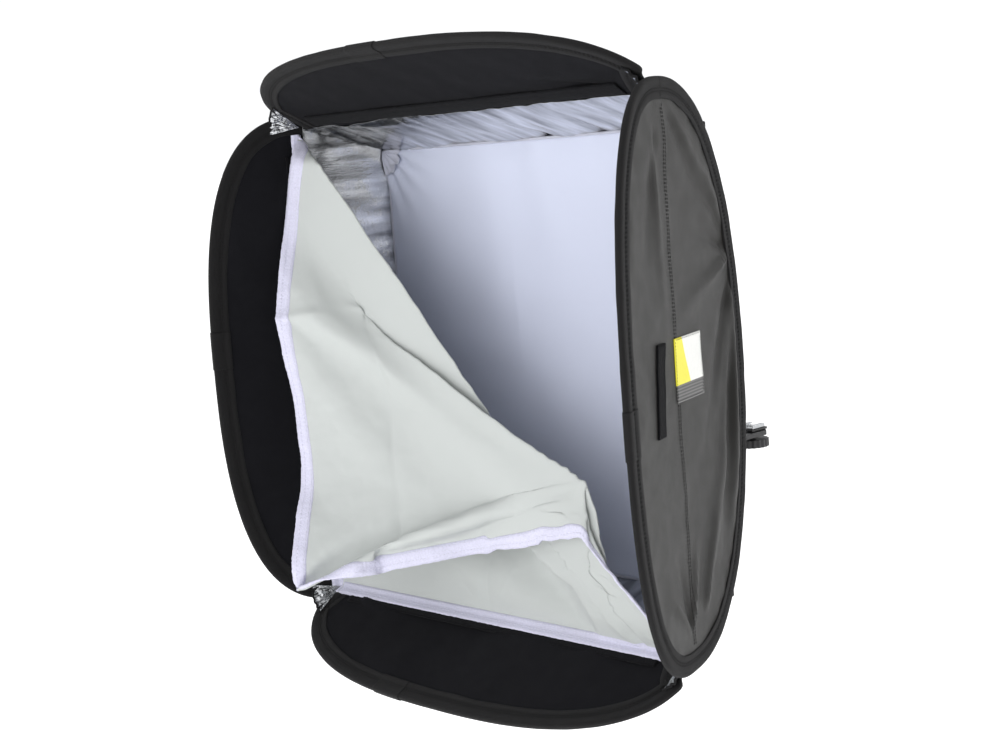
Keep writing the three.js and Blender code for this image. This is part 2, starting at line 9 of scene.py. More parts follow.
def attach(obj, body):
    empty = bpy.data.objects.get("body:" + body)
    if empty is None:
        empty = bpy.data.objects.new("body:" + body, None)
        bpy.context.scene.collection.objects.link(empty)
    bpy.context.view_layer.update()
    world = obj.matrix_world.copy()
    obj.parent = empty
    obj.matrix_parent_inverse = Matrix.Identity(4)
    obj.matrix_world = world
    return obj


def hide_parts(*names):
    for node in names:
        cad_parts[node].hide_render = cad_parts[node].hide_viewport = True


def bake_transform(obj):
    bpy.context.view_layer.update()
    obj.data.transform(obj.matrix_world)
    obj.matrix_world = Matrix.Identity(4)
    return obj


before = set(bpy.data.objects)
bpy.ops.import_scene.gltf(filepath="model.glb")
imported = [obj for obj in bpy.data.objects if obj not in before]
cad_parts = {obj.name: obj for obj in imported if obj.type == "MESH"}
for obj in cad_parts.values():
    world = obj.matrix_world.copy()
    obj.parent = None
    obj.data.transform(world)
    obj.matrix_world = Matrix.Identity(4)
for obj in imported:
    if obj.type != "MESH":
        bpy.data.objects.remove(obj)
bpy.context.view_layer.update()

# ---------------------------------------------------------------- driving dimensions

OPENING = 0.540
HALF = OPENING / 2
STAND_Y = 0.330
SOCKET_Z = 0.280
ORIGIN = np.array([0.0, -STAND_Y, SOCKET_Z])
HOOP_HALF = 0.282
LIP_DEPTH = 0.128
TAIL_DEPTH = 0.174
LIP_POWER = 2.64
TAIL_POWER = 2.2
SIDE_LIP = math.radians(20)
TOP_LIP = math.radians(33)
TAIL = math.radians(18)
BEND = 0.012
CORNER_CLEARANCE = 0.008
COLLAR_RADIUS = 0.0802
COLLAR_Y = 0.272
SHEET_SIZE = 0.540
SHEET_Y = -0.003
HEM_REACH = 0.0135
HEM_WIDTH = 0.0165
STRIP_FACE = 0.0045
INNER_Y = 0.0945
INNER_HALF = 0.2355

SIDES = ("right", "left", "top", "bottom")
CORNERS = {"top_right": (1, 1), "top_left": (-1, 1), "bottom_left": (-1, -1), "bottom_right": (1, -1)}


# ---------------------------------------------------------------- mesh helpers

def make_piece(name, verts, faces, materials, body="softbox", uv=None, smooth=True, replaces=(), slot=None,
               face_material=None):
    mesh = bpy.data.meshes.new(name)
    mesh.from_pydata([tuple(map(float, v)) for v in verts], [], [tuple(map(int, f)) for f in faces])
    obj = bpy.data.objects.new(name, mesh)
    bpy.context.scene.collection.objects.link(obj)
    for material in materials if isinstance(materials, (list, tuple)) else [materials]:
        mesh.materials.append(material)
    if uv is not None:
        layer = mesh.uv_layers.new(name="cloth")
        loops = np.empty(len(mesh.loops), dtype=np.int32)
        mesh.loops.foreach_get("vertex_index", loops)
        layer.data.foreach_set("uv", np.asarray(uv, dtype=np.float32)[loops].ravel())
    if face_material is not None:
        mesh.polygons.foreach_set("material_index", np.asarray(face_material, dtype=np.int32))
    mesh.polygons.foreach_set("use_smooth", [smooth] * len(mesh.polygons))
    mesh.update()
    if body:
        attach(obj, body)
    if replaces:
        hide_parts(*replaces)
    return obj


def grid_faces(rows, cols, start=0, close_rows=False, close_cols=False):
    faces = []
    for r in range(rows if close_rows else rows - 1):
        for c in range(cols if close_cols else cols - 1):
            r2, c2 = (r + 1) % rows, (c + 1) % cols
            faces.append((start + r * cols + c, start + r2 * cols + c, start + r2 * cols + c2, start + r * cols + c2))
    return faces


def slab(front, back):
    """Closed thin solid between two equal grids of points, shape (rows, cols, 3)."""
    rows, cols = front.shape[:2]
    count = rows * cols
    verts = np.concatenate([front.reshape(-1, 3), back.reshape(-1, 3)])
    faces = grid_faces(rows, cols)
    faces += [tuple(reversed([count + i for i in f])) for f in grid_faces(rows, cols)]
    rim = [c for c in range(cols)] + [r * cols + cols - 1 for r in range(1, rows)]
    rim += [(rows - 1) * cols + c for c in range(cols - 2, -1, -1)] + [r * cols for r in range(rows - 2, 0, -1)]
    for a, b in zip(rim, rim[1:] + rim[:1]):
        faces.append((a, b, count + b, count + a))
    return verts, faces


def cloth_piece(name, front, back, material, uv, **kwargs):
    """A thin closed piece of cloth between two grids, with the same cloth coordinates on both faces."""
    verts, faces = slab(front, back)
    return make_piece(name, verts, faces, material, uv=np.vstack([uv, uv]), **kwargs)


def run_lengths(path):
    """Distance along a path of points, at each of them."""
    return np.concatenate([[0], np.cumsum(np.linalg.norm(np.diff(path, axis=0), axis=1))])


def normals_of(grid):
    du = np.gradient(grid, axis=1)
    dv = np.gradient(grid, axis=0)
    n = np.cross(du, dv)
    return n / np.maximum(np.linalg.norm(n, axis=2, keepdims=True), 1e-12)


def smooth_step(x):
    x = np.clip(x, 0, 1)
    return x * x * (3 - 2 * x)


def lattice(x, y, cell, seed):
    """Smooth noise in -1..1 on a plane, from a seeded table."""
    table = np.random.default_rng(seed).uniform(-1, 1, (128, 128))
    gx, gy = np.asarray(x) / cell + 17.3, np.asarray(y) / cell + 31.7
    ix, iy = np.floor(gx).astype(int), np.floor(gy).astype(int)
    fx, fy = smooth_step(gx - ix), smooth_step(gy - iy)
    at = lambda i, j: table[(ix + i) % 128, (iy + j) % 128]
    low = at(0, 0) * (1 - fx) + at(1, 0) * fx
    high = at(0, 1) * (1 - fx) + at(1, 1) * fx
    return low * (1 - fy) + high * fy


def cloth_noise(x, y, cell, seed, octaves=3):
    return sum(lattice(x, y, cell / 2 ** k, seed + k) / 2 ** k for k in range(octaves))


def fold(x, y, start, end, width, height):
    """A ridge from start to end that widens and fades along its length."""
    ax, ay = start
    dx, dy = end[0] - ax, end[1] - ay
    length = math.hypot(dx, dy)
    along = ((x - ax) * dx + (y - ay) * dy) / length ** 2
    across = ((x - ax) * dy - (y - ay) * dx) / length
    spread = width * (0.35 + 0.9 * np.clip(along, 0, 1))
    fade = smooth_step(along / 0.12) * smooth_step((1 - along) / 0.7)
    return height * fade * np.exp(-(across / spread) ** 2)


# ---------------------------------------------------------------- the panels' surface

def place(side, along, y, out):
    along, y, out = np.broadcast_arrays(along, y, out)
    if side == "right":
        xyz = (out, y, along)
    elif side == "left":
        xyz = (-out, y, along)
    elif side == "top":
        xyz = (along, y, out)
    else:
        xyz = (along, y, -out)
    return np.stack(xyz, axis=-1) + ORIGIN


def lip_flare(side):
    return SIDE_LIP if side in ("right", "left") else TOP_LIP


def on_panel(side, along, slant, height=0.0):
    """Point of a panel: along the diffuser's edge, slant distance in front of it, height off its middle."""
    slant = np.asarray(slant, dtype=float)
    lip = lip_flare(side)
    middle, k = (lip + TAIL) / 2, (lip - TAIL) / (2 * BEND)
    inside = np.clip(slant, -BEND, BEND)
    angle = middle + k * inside
    out = (math.cos(middle) - np.cos(angle)) / k
    forward = (np.sin(angle) - math.sin(middle)) / k
    rest = slant - inside
    out = HALF + out + rest * np.sin(angle) + height * np.cos(angle)
    y = -forward - rest * np.cos(angle) + height * np.sin(angle)
    return place(side, along, y, out)


def corner_limit(slant):
    flare = np.where(slant > 0, SIDE_LIP, TAIL)
    return HALF + slant * np.sin(flare) - CORNER_CLEARANCE + 1.5 * np.maximum(0, slant - 0.028)


def outline(side, count=240):
    """Closed outline of a hoop panel as (along, slant), anticlockwise from the middle of its right end."""
    angle = (np.arange(count) + 0.5) / count * 2 * math.pi
    c, s = np.cos(angle), np.sin(angle)
    power = np.where(s > 0, LIP_POWER, TAIL_POWER)
    along = HOOP_HALF * np.sign(c) * np.abs(c) ** (2 / power)
    slant = np.where(s > 0, LIP_DEPTH, TAIL_DEPTH) * np.sign(s) * np.abs(s) ** (2 / power)
    if side in ("top", "bottom"):
        limit = corner_limit(slant)
        along = np.clip(along, -limit, limit)
        for _ in range(3):
            along = (np.roll(along, 1) + 2 * along + np.roll(along, -1)) / 4
    return even_loop(np.stack([along, slant], axis=1), count)


def even_loop(loop, count):
    closed = np.vstack([loop, loop[:1]])
    steps = run_lengths(closed)
    at = np.linspace(0, steps[-1], count, endpoint=False)
    return np.stack([np.interp(at, steps, closed[:, k]) for k in range(closed.shape[1])], axis=1)


def inset(loop, distance):
    """The outline moved inward; distance may vary from point to point."""
    tangent = np.roll(loop, -1, axis=0) - np.roll(loop, 1, axis=0)
    tangent /= np.linalg.norm(tangent, axis=1, keepdims=True)
    inward = np.stack([-tangent[:, 1], tangent[:, 0]], axis=1)
    return loop + inward * np.reshape(distance, (-1, 1))


def half_width(side, slant, distance):
    """How far along a panel its cloth reaches at a slant, with its outline moved inward."""
    loop = inset(outline(side), distance)
    right = loop[loop[:, 0] > 0]
    right = right[np.argsort(right[:, 1])]
    return np.interp(slant, right[:, 1], right[:, 0], left=0.0, right=0.0)


def slant_span(side, distance):
    loop = inset(outline(side), distance)
    return loop[:, 1].min(), loop[:, 1].max()


PANEL_FOLDS = {
    "right": [((0.100, -0.160), (-0.26, -0.115), 0.020, 0.0070), ((0.080, -0.152), (-0.25, -0.085), 0.016, -0.0060),
              ((0.250, -0.020), (0.115, -0.150), 0.018, 0.0060), ((0.262, 0.000), (0.125, -0.135), 0.012, -0.0045),
              ((-0.24, -0.030), (-0.05, -0.120), 0.012, 0.0040),
              ((0.107, -0.163), (-0.16, -0.125), 0.010, 0.0050), ((0.107, -0.163), (-0.10, -0.045), 0.011, -0.0045),
              ((0.107, -0.163), (-0.24, -0.060), 0.012, 0.0050), ((0.107, -0.163), (0.05, 0.02), 0.010, 0.0035),
              ((0.107, -0.163), (0.15, -0.03), 0.010, -0.0035), ((0.107, -0.163), (0.23, -0.07), 0.011, 0.0045),
              ((0.107, -0.163), (0.235, -0.02), 0.014, -0.0030), ((-0.245, 0.004), (-0.14, -0.03), 0.007, 0.0035),
              ((-0.245, 0.004), (-0.15, 0.03), 0.007, -0.0030), ((-0.245, 0.004), (-0.19, 0.06), 0.006, 0.0030),
              ((0.24, 0.02), (0.08, 0.07), 0.012, -0.0025), ((0.24, 0.03), (0.02, 0.02), 0.010, 0.0025)],
    "left": [((-0.09, -0.163), (0.16, -0.12), 0.010, 0.0045), ((-0.09, -0.163), (0.10, -0.05), 0.012, -0.0040),
             ((-0.09, -0.163), (-0.22, -0.07), 0.011, 0.0040), ((-0.09, -0.163), (-0.03, 0.02), 0.011, -0.0030),
             ((0.24, 0.01), (0.12, -0.03), 0.008, 0.0030), ((0.24, 0.01), (0.10, 0.05), 0.010, -0.0025)],
    "top": [((0.05, -0.163), (-0.17, -0.10), 0.011, 0.0045), ((0.05, -0.163), (0.19, -0.09), 0.011, -0.0040),
            ((0.05, -0.163), (0.01, 0.00), 0.012, 0.0040), ((-0.22, 0.01), (-0.08, -0.03), 0.009, -0.0030),
            ((0.23, 0.01), (0.10, 0.05), 0.010, 0.0025)],
    "bottom": [((-0.04, -0.163), (-0.19, -0.10), 0.011, 0.0040), ((-0.04, -0.163), (0.18, -0.09), 0.012, -0.0040),
               ((-0.04, -0.163), (0.03, 0.00), 0.011, 0.0035), ((0.22, 0.01), (0.08, -0.04), 0.009, 0.0030),
               ((-0.23, 0.01), (-0.10, 0.04), 0.010, -0.0025)],
}


def edge_ripple(along, slant, seed):
    """Small gathers that run in from the binding and fade over a few centimetres."""
    power = np.where(slant > 0, LIP_POWER, TAIL_POWER)
    depth = np.where(slant > 0, LIP_DEPTH, TAIL_DEPTH)
    reach = (np.abs(along / HOOP_HALF) ** power + np.abs(slant / depth) ** power) ** (1 / power)
    turn = np.arctan2(slant, along)
    distance = np.clip((1 - reach) * 0.16, 0, 1)
    ripple = np.sin(turn * 46 + 5 * lattice(turn, turn * 0, 0.35, seed))
    return 0.0009 * ripple * np.exp(-distance / 0.012)


def panel_relief(side, along, slant, seed, fold_share=1.0, bulge=0.0):
    reach = half_width(side, slant, 0.016)
    edge = smooth_step((reach - np.abs(along)) / 0.05) * smooth_step((slant + TAIL_DEPTH - 0.014) / 0.03)
    edge = edge * smooth_step((LIP_DEPTH - 0.014 - slant) / 0.03)
    relief = 0.0016 * cloth_noise(along, slant, 0.085, seed) + bulge
    relief = relief + fold_share * sum(fold(along, slant, *f) for f in PANEL_FOLDS[side])
    return edge * relief + edge_ripple(along, slant, seed + 9)


def panel_grid(side, low, high, inset_by, height, rows, cols, relief=None):
    """Points, and cloth coordinates, of a panel's cloth between two slants."""
    turn = np.linspace(0, math.pi, rows)
    slants = low + (high - low) * (1 - np.cos(turn)) / 2
    span = np.linspace(-1, 1, cols)
    reach = np.maximum(half_width(side, slants, inset_by), 0.002)
    along = reach[:, None] * span[None, :]
    slant = np.repeat(slants[:, None], cols, axis=1)
    lift = height + (relief(along, slant) if relief else 0.0)
    return on_panel(side, along, slant, lift), np.stack([along, slant], axis=-1).reshape(-1, 2)


# ---------------------------------------------------------------- materials

class Shade:
    """A principled material with short calls for the nodes used here."""

    def __init__(self, name, color, roughness=0.6, metallic=0.0, sheen=0.0, sheen_roughness=0.5, specular=0.5,
                 coat=0.0, coat_roughness=0.2):
        self.material = bpy.data.materials.new(name)
        self.material.use_nodes = True
        self.tree = self.material.node_tree
        self.shader = self.tree.nodes["Principled BSDF"]
        self.color = color
        put = self.shader.inputs
        put["Base Color"].default_value = (*color, 1)
        put["Roughness"].default_value = roughness
        put["Metallic"].default_value = metallic
        put["Sheen Weight"].default_value = sheen
        put["Sheen Roughness"].default_value = sheen_roughness
        put["Specular IOR Level"].default_value = specular
        put["Coat Weight"].default_value = coat
        put["Coat Roughness"].default_value = coat_roughness
        self.height = None

    def node(self, kind, **settings):
        n = self.tree.nodes.new(kind)
        for key, value in settings.items():
            if hasattr(n, key):
                setattr(n, key, value)
            else:
                n.inputs[key.replace("_", " ")].default_value = value
        return n

    def link(self, a, b):
        self.tree.links.new(a, b)

    def math(self, operation, a, b=None):
        n = self.node("ShaderNodeMath", operation=operation)
        for i, value in enumerate((a, b)):
            if isinstance(value, (int, float)):
                n.inputs[i].default_value = value
            elif value is not None:
                self.link(value, n.inputs[i])
        return n.outputs[0]

    def coords(self, uv=False):
        if uv:
            return self.node("ShaderNodeUVMap", uv_map="cloth").outputs[0]
        return self.node("ShaderNodeTexCoord").outputs["Object"]

    def noise(self, scale, detail=3.0, uv=False, stretch=None):
        vector = self.coords(uv)
        if stretch:
            m = self.node("ShaderNodeMapping")
            m.inputs["Scale"].default_value = stretch
            self.link(vector, m.inputs["Vector"])
            vector = m.outputs[0]
        n = self.node("ShaderNodeTexNoise")
        n.inputs["Scale"].default_value = scale
        n.inputs["Detail"].default_value = detail
        self.link(vector, n.inputs["Vector"])
        return n.outputs["Fac"]

    def weave(self, pitch, uv=True):
        """Crossing threads: the product of two waves along the cloth's own directions."""
        parts = self.node("ShaderNodeSeparateXYZ")
        self.link(self.coords(uv), parts.inputs[0])
        turns = 2 * math.pi / pitch
        wave = [self.math("SINE", self.math("MULTIPLY", parts.outputs[i], turns)) for i in (0, 1)]
        return self.math("MULTIPLY", wave[0], wave[1])

    def vary_color(self, factor, dark, light):
        ramp = self.node("ShaderNodeMapRange")
        ramp.inputs["To Min"].default_value = dark
        ramp.inputs["To Max"].default_value = light
        self.link(factor, ramp.inputs["Value"])
        hue = self.node("ShaderNodeHueSaturation")
        hue.inputs["Color"].default_value = (*self.color, 1)
        source = self.shader.inputs["Base Color"]
        if source.is_linked:
            self.link(source.links[0].from_socket, hue.inputs["Color"])
        self.link(ramp.outputs[0], hue.inputs["Value"])
        self.link(hue.outputs[0], source)
        return self

    def vary_roughness(self, factor, low, high):
        ramp = self.node("ShaderNodeMapRange")
        ramp.inputs["To Min"].default_value = low
        ramp.inputs["To Max"].default_value = high
        self.link(factor, ramp.inputs["Value"])
        self.link(ramp.outputs[0], self.shader.inputs["Roughness"])
        return self

    def bump(self, factor, distance, strength=1.0):
        n = self.node("ShaderNodeBump")
        n.inputs["Distance"].default_value = distance
        n.inputs["Strength"].default_value = strength
        self.link(factor, n.inputs["Height"])
        if self.shader.inputs["Normal"].is_linked:
            self.link(self.shader.inputs["Normal"].links[0].from_socket, n.inputs["Normal"])
        self.link(n.outputs[0], self.shader.inputs["Normal"])
        return self


def linear(red, green, blue):
    """Linear colour from eight-bit display values."""
    def one(v):
        v = v / 255
        return v / 12.92 if v <= 0.04045 else ((v + 0.055) / 1.055) ** 2.4
    return one(red), one(green), one(blue)


def cloth_material(name, rgb, roughness, pitch, sheen=0.2, mottle=0.12, specular=0.4, weave_depth=0.00012,
                   crumple=0.0006, crumple_scale=26):
    s = Shade(name, linear(*rgb), roughness, sheen=sheen, specular=specular)
    s.vary_color(s.noise(9, 4), 1 - mottle, 1 + mottle)
    s.vary_color(s.weave(pitch), 0.94, 1.06)
    s.vary_roughness(s.noise(60, 2), roughness - 0.08, roughness + 0.08)
    s.bump(s.noise(crumple_scale, 4), crumple, 0.7)
    s.bump(s.weave(pitch), weave_depth, 0.6)
    return s.material


def foil_material(name, rgb, roughness, streak, streak_scale):
    s = Shade(name, linear(*rgb), roughness, metallic=1.0)
    # Painted reflection: the base colour swings from black to far past white along stretched noise, painting the bright
    # highlight streaks and dark bands that crumpled foil mirrors.
    s.vary_color(s.noise(streak_scale * 1.5, 3, uv=True, stretch=streak), -0.30, 1.75)
    s.vary_roughness(s.noise(45, 3), roughness * 0.6, roughness * 1.5)
    s.bump(s.noise(streak_scale, 5, uv=True, stretch=streak), 0.004, 0.45)
    s.bump(s.noise(160, 2), 0.0004, 0.35)
    return s.material


def tape_material(name, rgb, pitch=0.0016, roughness=0.8, sheen=0.25, fuzz=0.0004):
    s = Shade(name, linear(*rgb), roughness, sheen=sheen, specular=0.25)
    s.vary_color(s.noise(35, 3), 0.86, 1.12)
    s.vary_color(s.weave(pitch), 0.9, 1.08)
    s.bump(s.weave(pitch), 0.00035, 0.8)
    s.bump(s.noise(900, 2), fuzz, 0.5)
    return s.material


def pile_material(name, rgb, fuzz, sheen):
    s = Shade(name, linear(*rgb), 0.95, sheen=sheen, specular=0.1)
    s.vary_color(s.noise(500, 3), 0.85, 1.15)
    s.vary_color(s.noise(22, 2), 0.92, 1.08)
    s.bump(s.noise(700, 3), fuzz, 0.9)
    return s.material


def metal_material(name, rgb, roughness, metallic, grain, coat=0.0):
    s = Shade(name, linear(*rgb), roughness, metallic=metallic, coat=coat, coat_roughness=0.25)
    s.vary_color(s.noise(14, 3), 0.88, 1.12)
    s.vary_roughness(s.noise(80, 4), roughness - 0.1, roughness + 0.1)
    s.bump(s.noise(grain, 2), 0.00018, 0.5)
    return s.material


def brushed_material(name, rgb, roughness):
    s = Shade(name, linear(*rgb), roughness, metallic=1.0)
    streaks = s.noise(60, 3, stretch=(30, 1, 1))
    s.vary_color(streaks, 0.85, 1.08)
    s.vary_roughness(streaks, roughness - 0.08, roughness + 0.12)
    s.bump(streaks, 0.00008, 0.4)
    return s.material


def thread_material(name, rgb):
    s = Shade(name, linear(*rgb), 0.85, sheen=0.02, specular=0.12)
    s.vary_color(s.noise(1200, 1), 0.75, 1.2)
    s.bump(s.noise(2500, 1), 0.0002, 0.6)
    return s.material


def label_material(name):
    """A patch split along its diagonal into yellow and white, with plain grey rules along its lower edge."""
    s = Shade(name, linear(238, 228, 40), 0.5, sheen=0.1)
    parts = s.node("ShaderNodeSeparateXYZ")
    s.link(s.coords(uv=True), parts.inputs[0])
    across, up = parts.outputs[0], parts.outputs[1]
    slope = s.math("ADD", across, s.math("MULTIPLY", up, 0.35))
    is_white = s.math("GREATER_THAN", slope, 0.62)
    rules = s.math("GREATER_THAN", s.math("SINE", s.math("MULTIPLY", up, 130.0)), 0.2)
    is_foot = s.math("LESS_THAN", up, 0.27)

    def blend(factor, a, b):
        n = s.node("ShaderNodeMix", data_type="RGBA")
        s.link(factor, n.inputs["Factor"])
        for socket, value in ((n.inputs[6], a), (n.inputs[7], b)):
            if isinstance(value, tuple):
                socket.default_value = (*linear(*value), 1)
            else:
                s.link(value, socket)
        return n.outputs[2]

    face = blend(is_white, (238, 228, 40), (236, 236, 232))
    foot = blend(rules, (44, 43, 42), (92, 91, 90))
    s.link(blend(is_foot, face, foot), s.shader.inputs["Base Color"])
    s.vary_color(s.noise(300, 2), 0.93, 1.05)
    s.bump(s.noise(900, 2), 0.0002, 0.6)
    return s.material


NYLON = cloth_material("outer_nylon_look", (30, 29, 27), 0.38, 0.0011, sheen=0.02, specular=0.17, crumple=0.0013,
                       crumple_scale=20)
LIP = cloth_material("lip_cloth_look", (18, 18, 22), 0.85, 0.0012, sheen=0.02, mottle=0.08, specular=0.12)
BINDING = tape_material("binding_look", (22, 21, 22), sheen=0.04)
PILE = pile_material("loop_pile_look", (15, 15, 18), 0.0012, sheen=0.04)
# Both foils carry painted reflection streaks, highlights and dark bands, in their base colour.
SILVER = foil_material("silver_lining_look", (222, 223, 225), 0.15, (5.0, 0.8, 1.0), 9)
FOIL = foil_material("gusset_foil_look", (200, 202, 205), 0.16, (3.0, 3.0, 1.0), 18)
DIFFUSER = cloth_material("front_diffuser_look", (196, 200, 198), 0.8, 0.0009, sheen=0.05, mottle=0.02, specular=0.2,
                          weave_depth=0.00006, crumple=0.0004)
INNER = cloth_material("inner_diffuser_look", (214, 219, 238), 0.82, 0.0009, sheen=0.05, mottle=0.02, specular=0.2,
                       weave_depth=0.00006, crumple=0.0005, crumple_scale=14)
HOOK_WHITE = pile_material("white_hook_look", (212, 211, 230), 0.0006, sheen=0.1)
HEM_BLACK = tape_material("hem_black_look", (22, 22, 24), sheen=0.04)
THREAD_BLACK = thread_material("black_thread_look", (24, 23, 24))
THREAD_WHITE = thread_material("white_thread_look", (226, 226, 238))
PIPING = tape_material("piping_look", (222, 224, 240), pitch=0.0012, roughness=0.7)
STEEL = brushed_material("spring_steel_look", (150, 152, 156), 0.3)
PLATE = brushed_material("bright_plate_look", (176, 178, 180), 0.28)
BLACK_METAL = metal_material("black_coat_look", (34, 34, 36), 0.42, 0.3, 900, coat=0.15)
PLASTIC = metal_material("moulded_plastic_look", (36, 36, 38), 0.5, 0.0, 1100)
LABEL = label_material("label_look")


# ---------------------------------------------------------------- stitches, cords of thread and tape

def stitches(name, paths, normals, material, pitch=0.0042, length=0.0030, radius=0.00032, lift=0.0002, body="softbox"):
    """Rows of short raised threads along open or closed paths of points."""
    verts, faces = [], []
    for path, normal in zip(paths, normals):
        steps = run_lengths(path)
        for start in np.arange(pitch / 2, steps[-1] - pitch, pitch):
            at = np.array([start, start + length / 2, start + length])
            line = np.stack([np.interp(at, steps, path[:, k]) for k in range(3)], axis=1)
            up = np.array([np.interp(start, steps, normal[:, k]) for k in range(3)])
            up /= np.linalg.norm(up)
            along = line[2] - line[0]
            side = np.cross(along / np.linalg.norm(along), up)
            base = len(verts)
            for point, size, rise in ((line[0], 0.45, -0.4), (line[1], 1.0, 0.35), (line[2], 0.45, -0.4)):
                centre = point + up * (lift + rise * radius)
                for a, b in ((1, 0), (0, 1), (-1, 0), (0, -1)):
                    verts.append(centre + (side * a + up * b) * radius * size)
            for ring in range(2):
                for k in range(4):
                    a, b = base + ring * 4 + k, base + ring * 4 + (k + 1) % 4
                    faces.append((a, b, b + 4, a + 4))
            faces.append(tuple(base + k for k in (3, 2, 1, 0)))
            faces.append(tuple(base + 8 + k for k in range(4)))
    return make_piece(name, verts, faces, material, body=body)


def tube(name, path, radius, material, body="softbox", sides=10, closed=False, **kwargs):
    """A round cord of tape along a path of points."""
    path = np.asarray(path)
    tangent = np.gradient(path, axis=0)
    if closed:
        tangent = np.roll(path, -1, axis=0) - np.roll(path, 1, axis=0)
    tangent /= np.linalg.norm(tangent, axis=1, keepdims=True)
    helper = np.array([0.13, 0.31, 0.94])
    side = np.cross(tangent, helper)
    side /= np.linalg.norm(side, axis=1, keepdims=True)
    up = np.cross(side, tangent)
    turn = np.arange(sides) / sides * 2 * math.pi
    radius = np.broadcast_to(radius, (len(path),))[:, None, None]
    ring = path[:, None, :] + radius * (side[:, None, :] * np.cos(turn)[None, :, None]
                                        + up[:, None, :] * np.sin(turn)[None, :, None])
    faces = grid_faces(len(path), sides, close_rows=closed, close_cols=True)
    if not closed:
        faces += [tuple(range(sides)), tuple(reversed(range((len(path) - 1) * sides, len(path) * sides)))]
    length = run_lengths(path)
    uv = np.stack([np.repeat(length, sides), np.tile(turn * 0.002, len(path))], axis=1)
    return make_piece(name, ring.reshape(-1, 3), faces, material, body=body, uv=uv, **kwargs)


# ---------------------------------------------------------------- panels

LINING_INSET = 0.0035
CLOTH_INSET = 0.0155


def lining_height(side, along, slant, seed):
    """The silver lining hangs off the panel's own folds, puckered in bands, and laps over the edge tape."""
    edge = half_width(side, slant, LINING_INSET) - np.abs(along)
    tail = slant + TAIL_DEPTH
    inside = smooth_step(edge / 0.028) * smooth_step(tail / 0.028)
    bands = 0.0016 * np.abs(cloth_noise(along, slant * 0.14 + along * 0.1, 0.036, seed + 70))
    bands = bands + 0.0008 * np.abs(lattice(along, slant * 0.2, 0.013, seed + 71))
    return panel_relief(side, along, slant, seed) - 0.0020 - bands * inside - 0.0030 * (1 - inside)


def build_panel(side, seed):
    low, high = slant_span(side, CLOTH_INSET)
    relief = lambda a, s: panel_relief(side, a, s, seed)
    outer, uv = panel_grid(side, low, high, CLOTH_INSET, 0.0019, 96, 96, relief)
    under, _ = panel_grid(side, low, high, CLOTH_INSET, 0.0013, 96, 96, relief)
    cloth_piece(f"{side}_shell", outer, under, NYLON, uv, replaces=[f"{side}_outer_cloth"], slot="outer_nylon")

    lip, uv = panel_grid(side, 0.0, high, CLOTH_INSET, -0.0019, 60, 96, relief)
    back, _ = panel_grid(side, 0.0, high, CLOTH_INSET, -0.0014, 60, 96, relief)
    cloth_piece(f"{side}_lip", back, lip, LIP, uv, replaces=[f"{side}_lip_lining"], slot="lip_cloth")

    low = slant_span(side, LINING_INSET)[0]
    hang = lambda a, s: lining_height(side, a, s, seed)
    lining, uv = panel_grid(side, low, -0.0008, LINING_INSET, 0.0, 60, 150, hang)
    back, _ = panel_grid(side, low, -0.0008, LINING_INSET, 0.0005, 60, 150, hang)
    cloth_piece(f"{side}_silver", back, lining, SILVER, uv, replaces=[f"{side}_silver_lining"], slot="silver_cloth")


TAPE_SECTION = [(0.0210, 0.00265), (0.0205, 0.0031), (0.0165, 0.00305), (0.0140, 0.0024), (0.0125, 0.00225),
                (0.0110, 0.0024), (0.0085, 0.0030), (0.0060, 0.0034), (0.0035, 0.0036), (0.0012, 0.0030),
                (0.0000, 0.0016)]


def build_tape(side, seed):
    """The edge tape folded round the sprung hoop and sewn through both faces."""
    count = 420
    loop = outline(side, count)
    at = np.arange(count)
    wobble = 0.0007 * lattice(at * 1.0, at * 0.0, 9.0, seed)
    section = TAPE_SECTION + [(i, -h) for i, h in reversed(TAPE_SECTION)]
    rings = []
    for k, (depth, height) in enumerate(section):
        ripple = 1 + 0.10 * lattice(at * 1.0, at * 0.0 + k * 0.15, 5.0, seed + 3)
        rings.append(on_panel(side, *inset(loop, depth + wobble * (depth > 0.015)).T, height * ripple))
    grid = np.stack(rings, axis=1)
    faces = grid_faces(count, len(section), close_rows=True, close_cols=True)
    length = run_lengths(loop)
    around = np.cumsum([0] + [math.dist(a, b) for a, b in zip(section, section[1:])])
    uv = np.stack([np.repeat(length, len(section)), np.tile(around, count)], axis=1)
    make_piece(f"{side}_tape", grid.reshape(-1, 3), faces, BINDING, uv=uv, replaces=[f"{side}_binding"],
               slot="binding_tape")
    paths, normals = [], []
    for height, face in ((0.0028, 1), (-0.0028, -1)):
        for depth in (0.0112, 0.0138):
            path_2d = inset(loop, depth)
            path_2d = np.vstack([path_2d, path_2d[:1]])
            path = on_panel(side, *path_2d.T, height)
            up = (on_panel(side, *path_2d.T, height + 0.001) - path) * 1000 * face
            paths.append(path)
            normals.append(up)
    stitches(f"{side}_tape_stitches", paths, normals, THREAD_BLACK)


OVERLAP_THICK = 0.0006
OVERLAP_LENGTH = 0.055
OVERLAP_AT = {"right": -0.004, "left": 0.052, "top": 0.004, "bottom": -0.045}


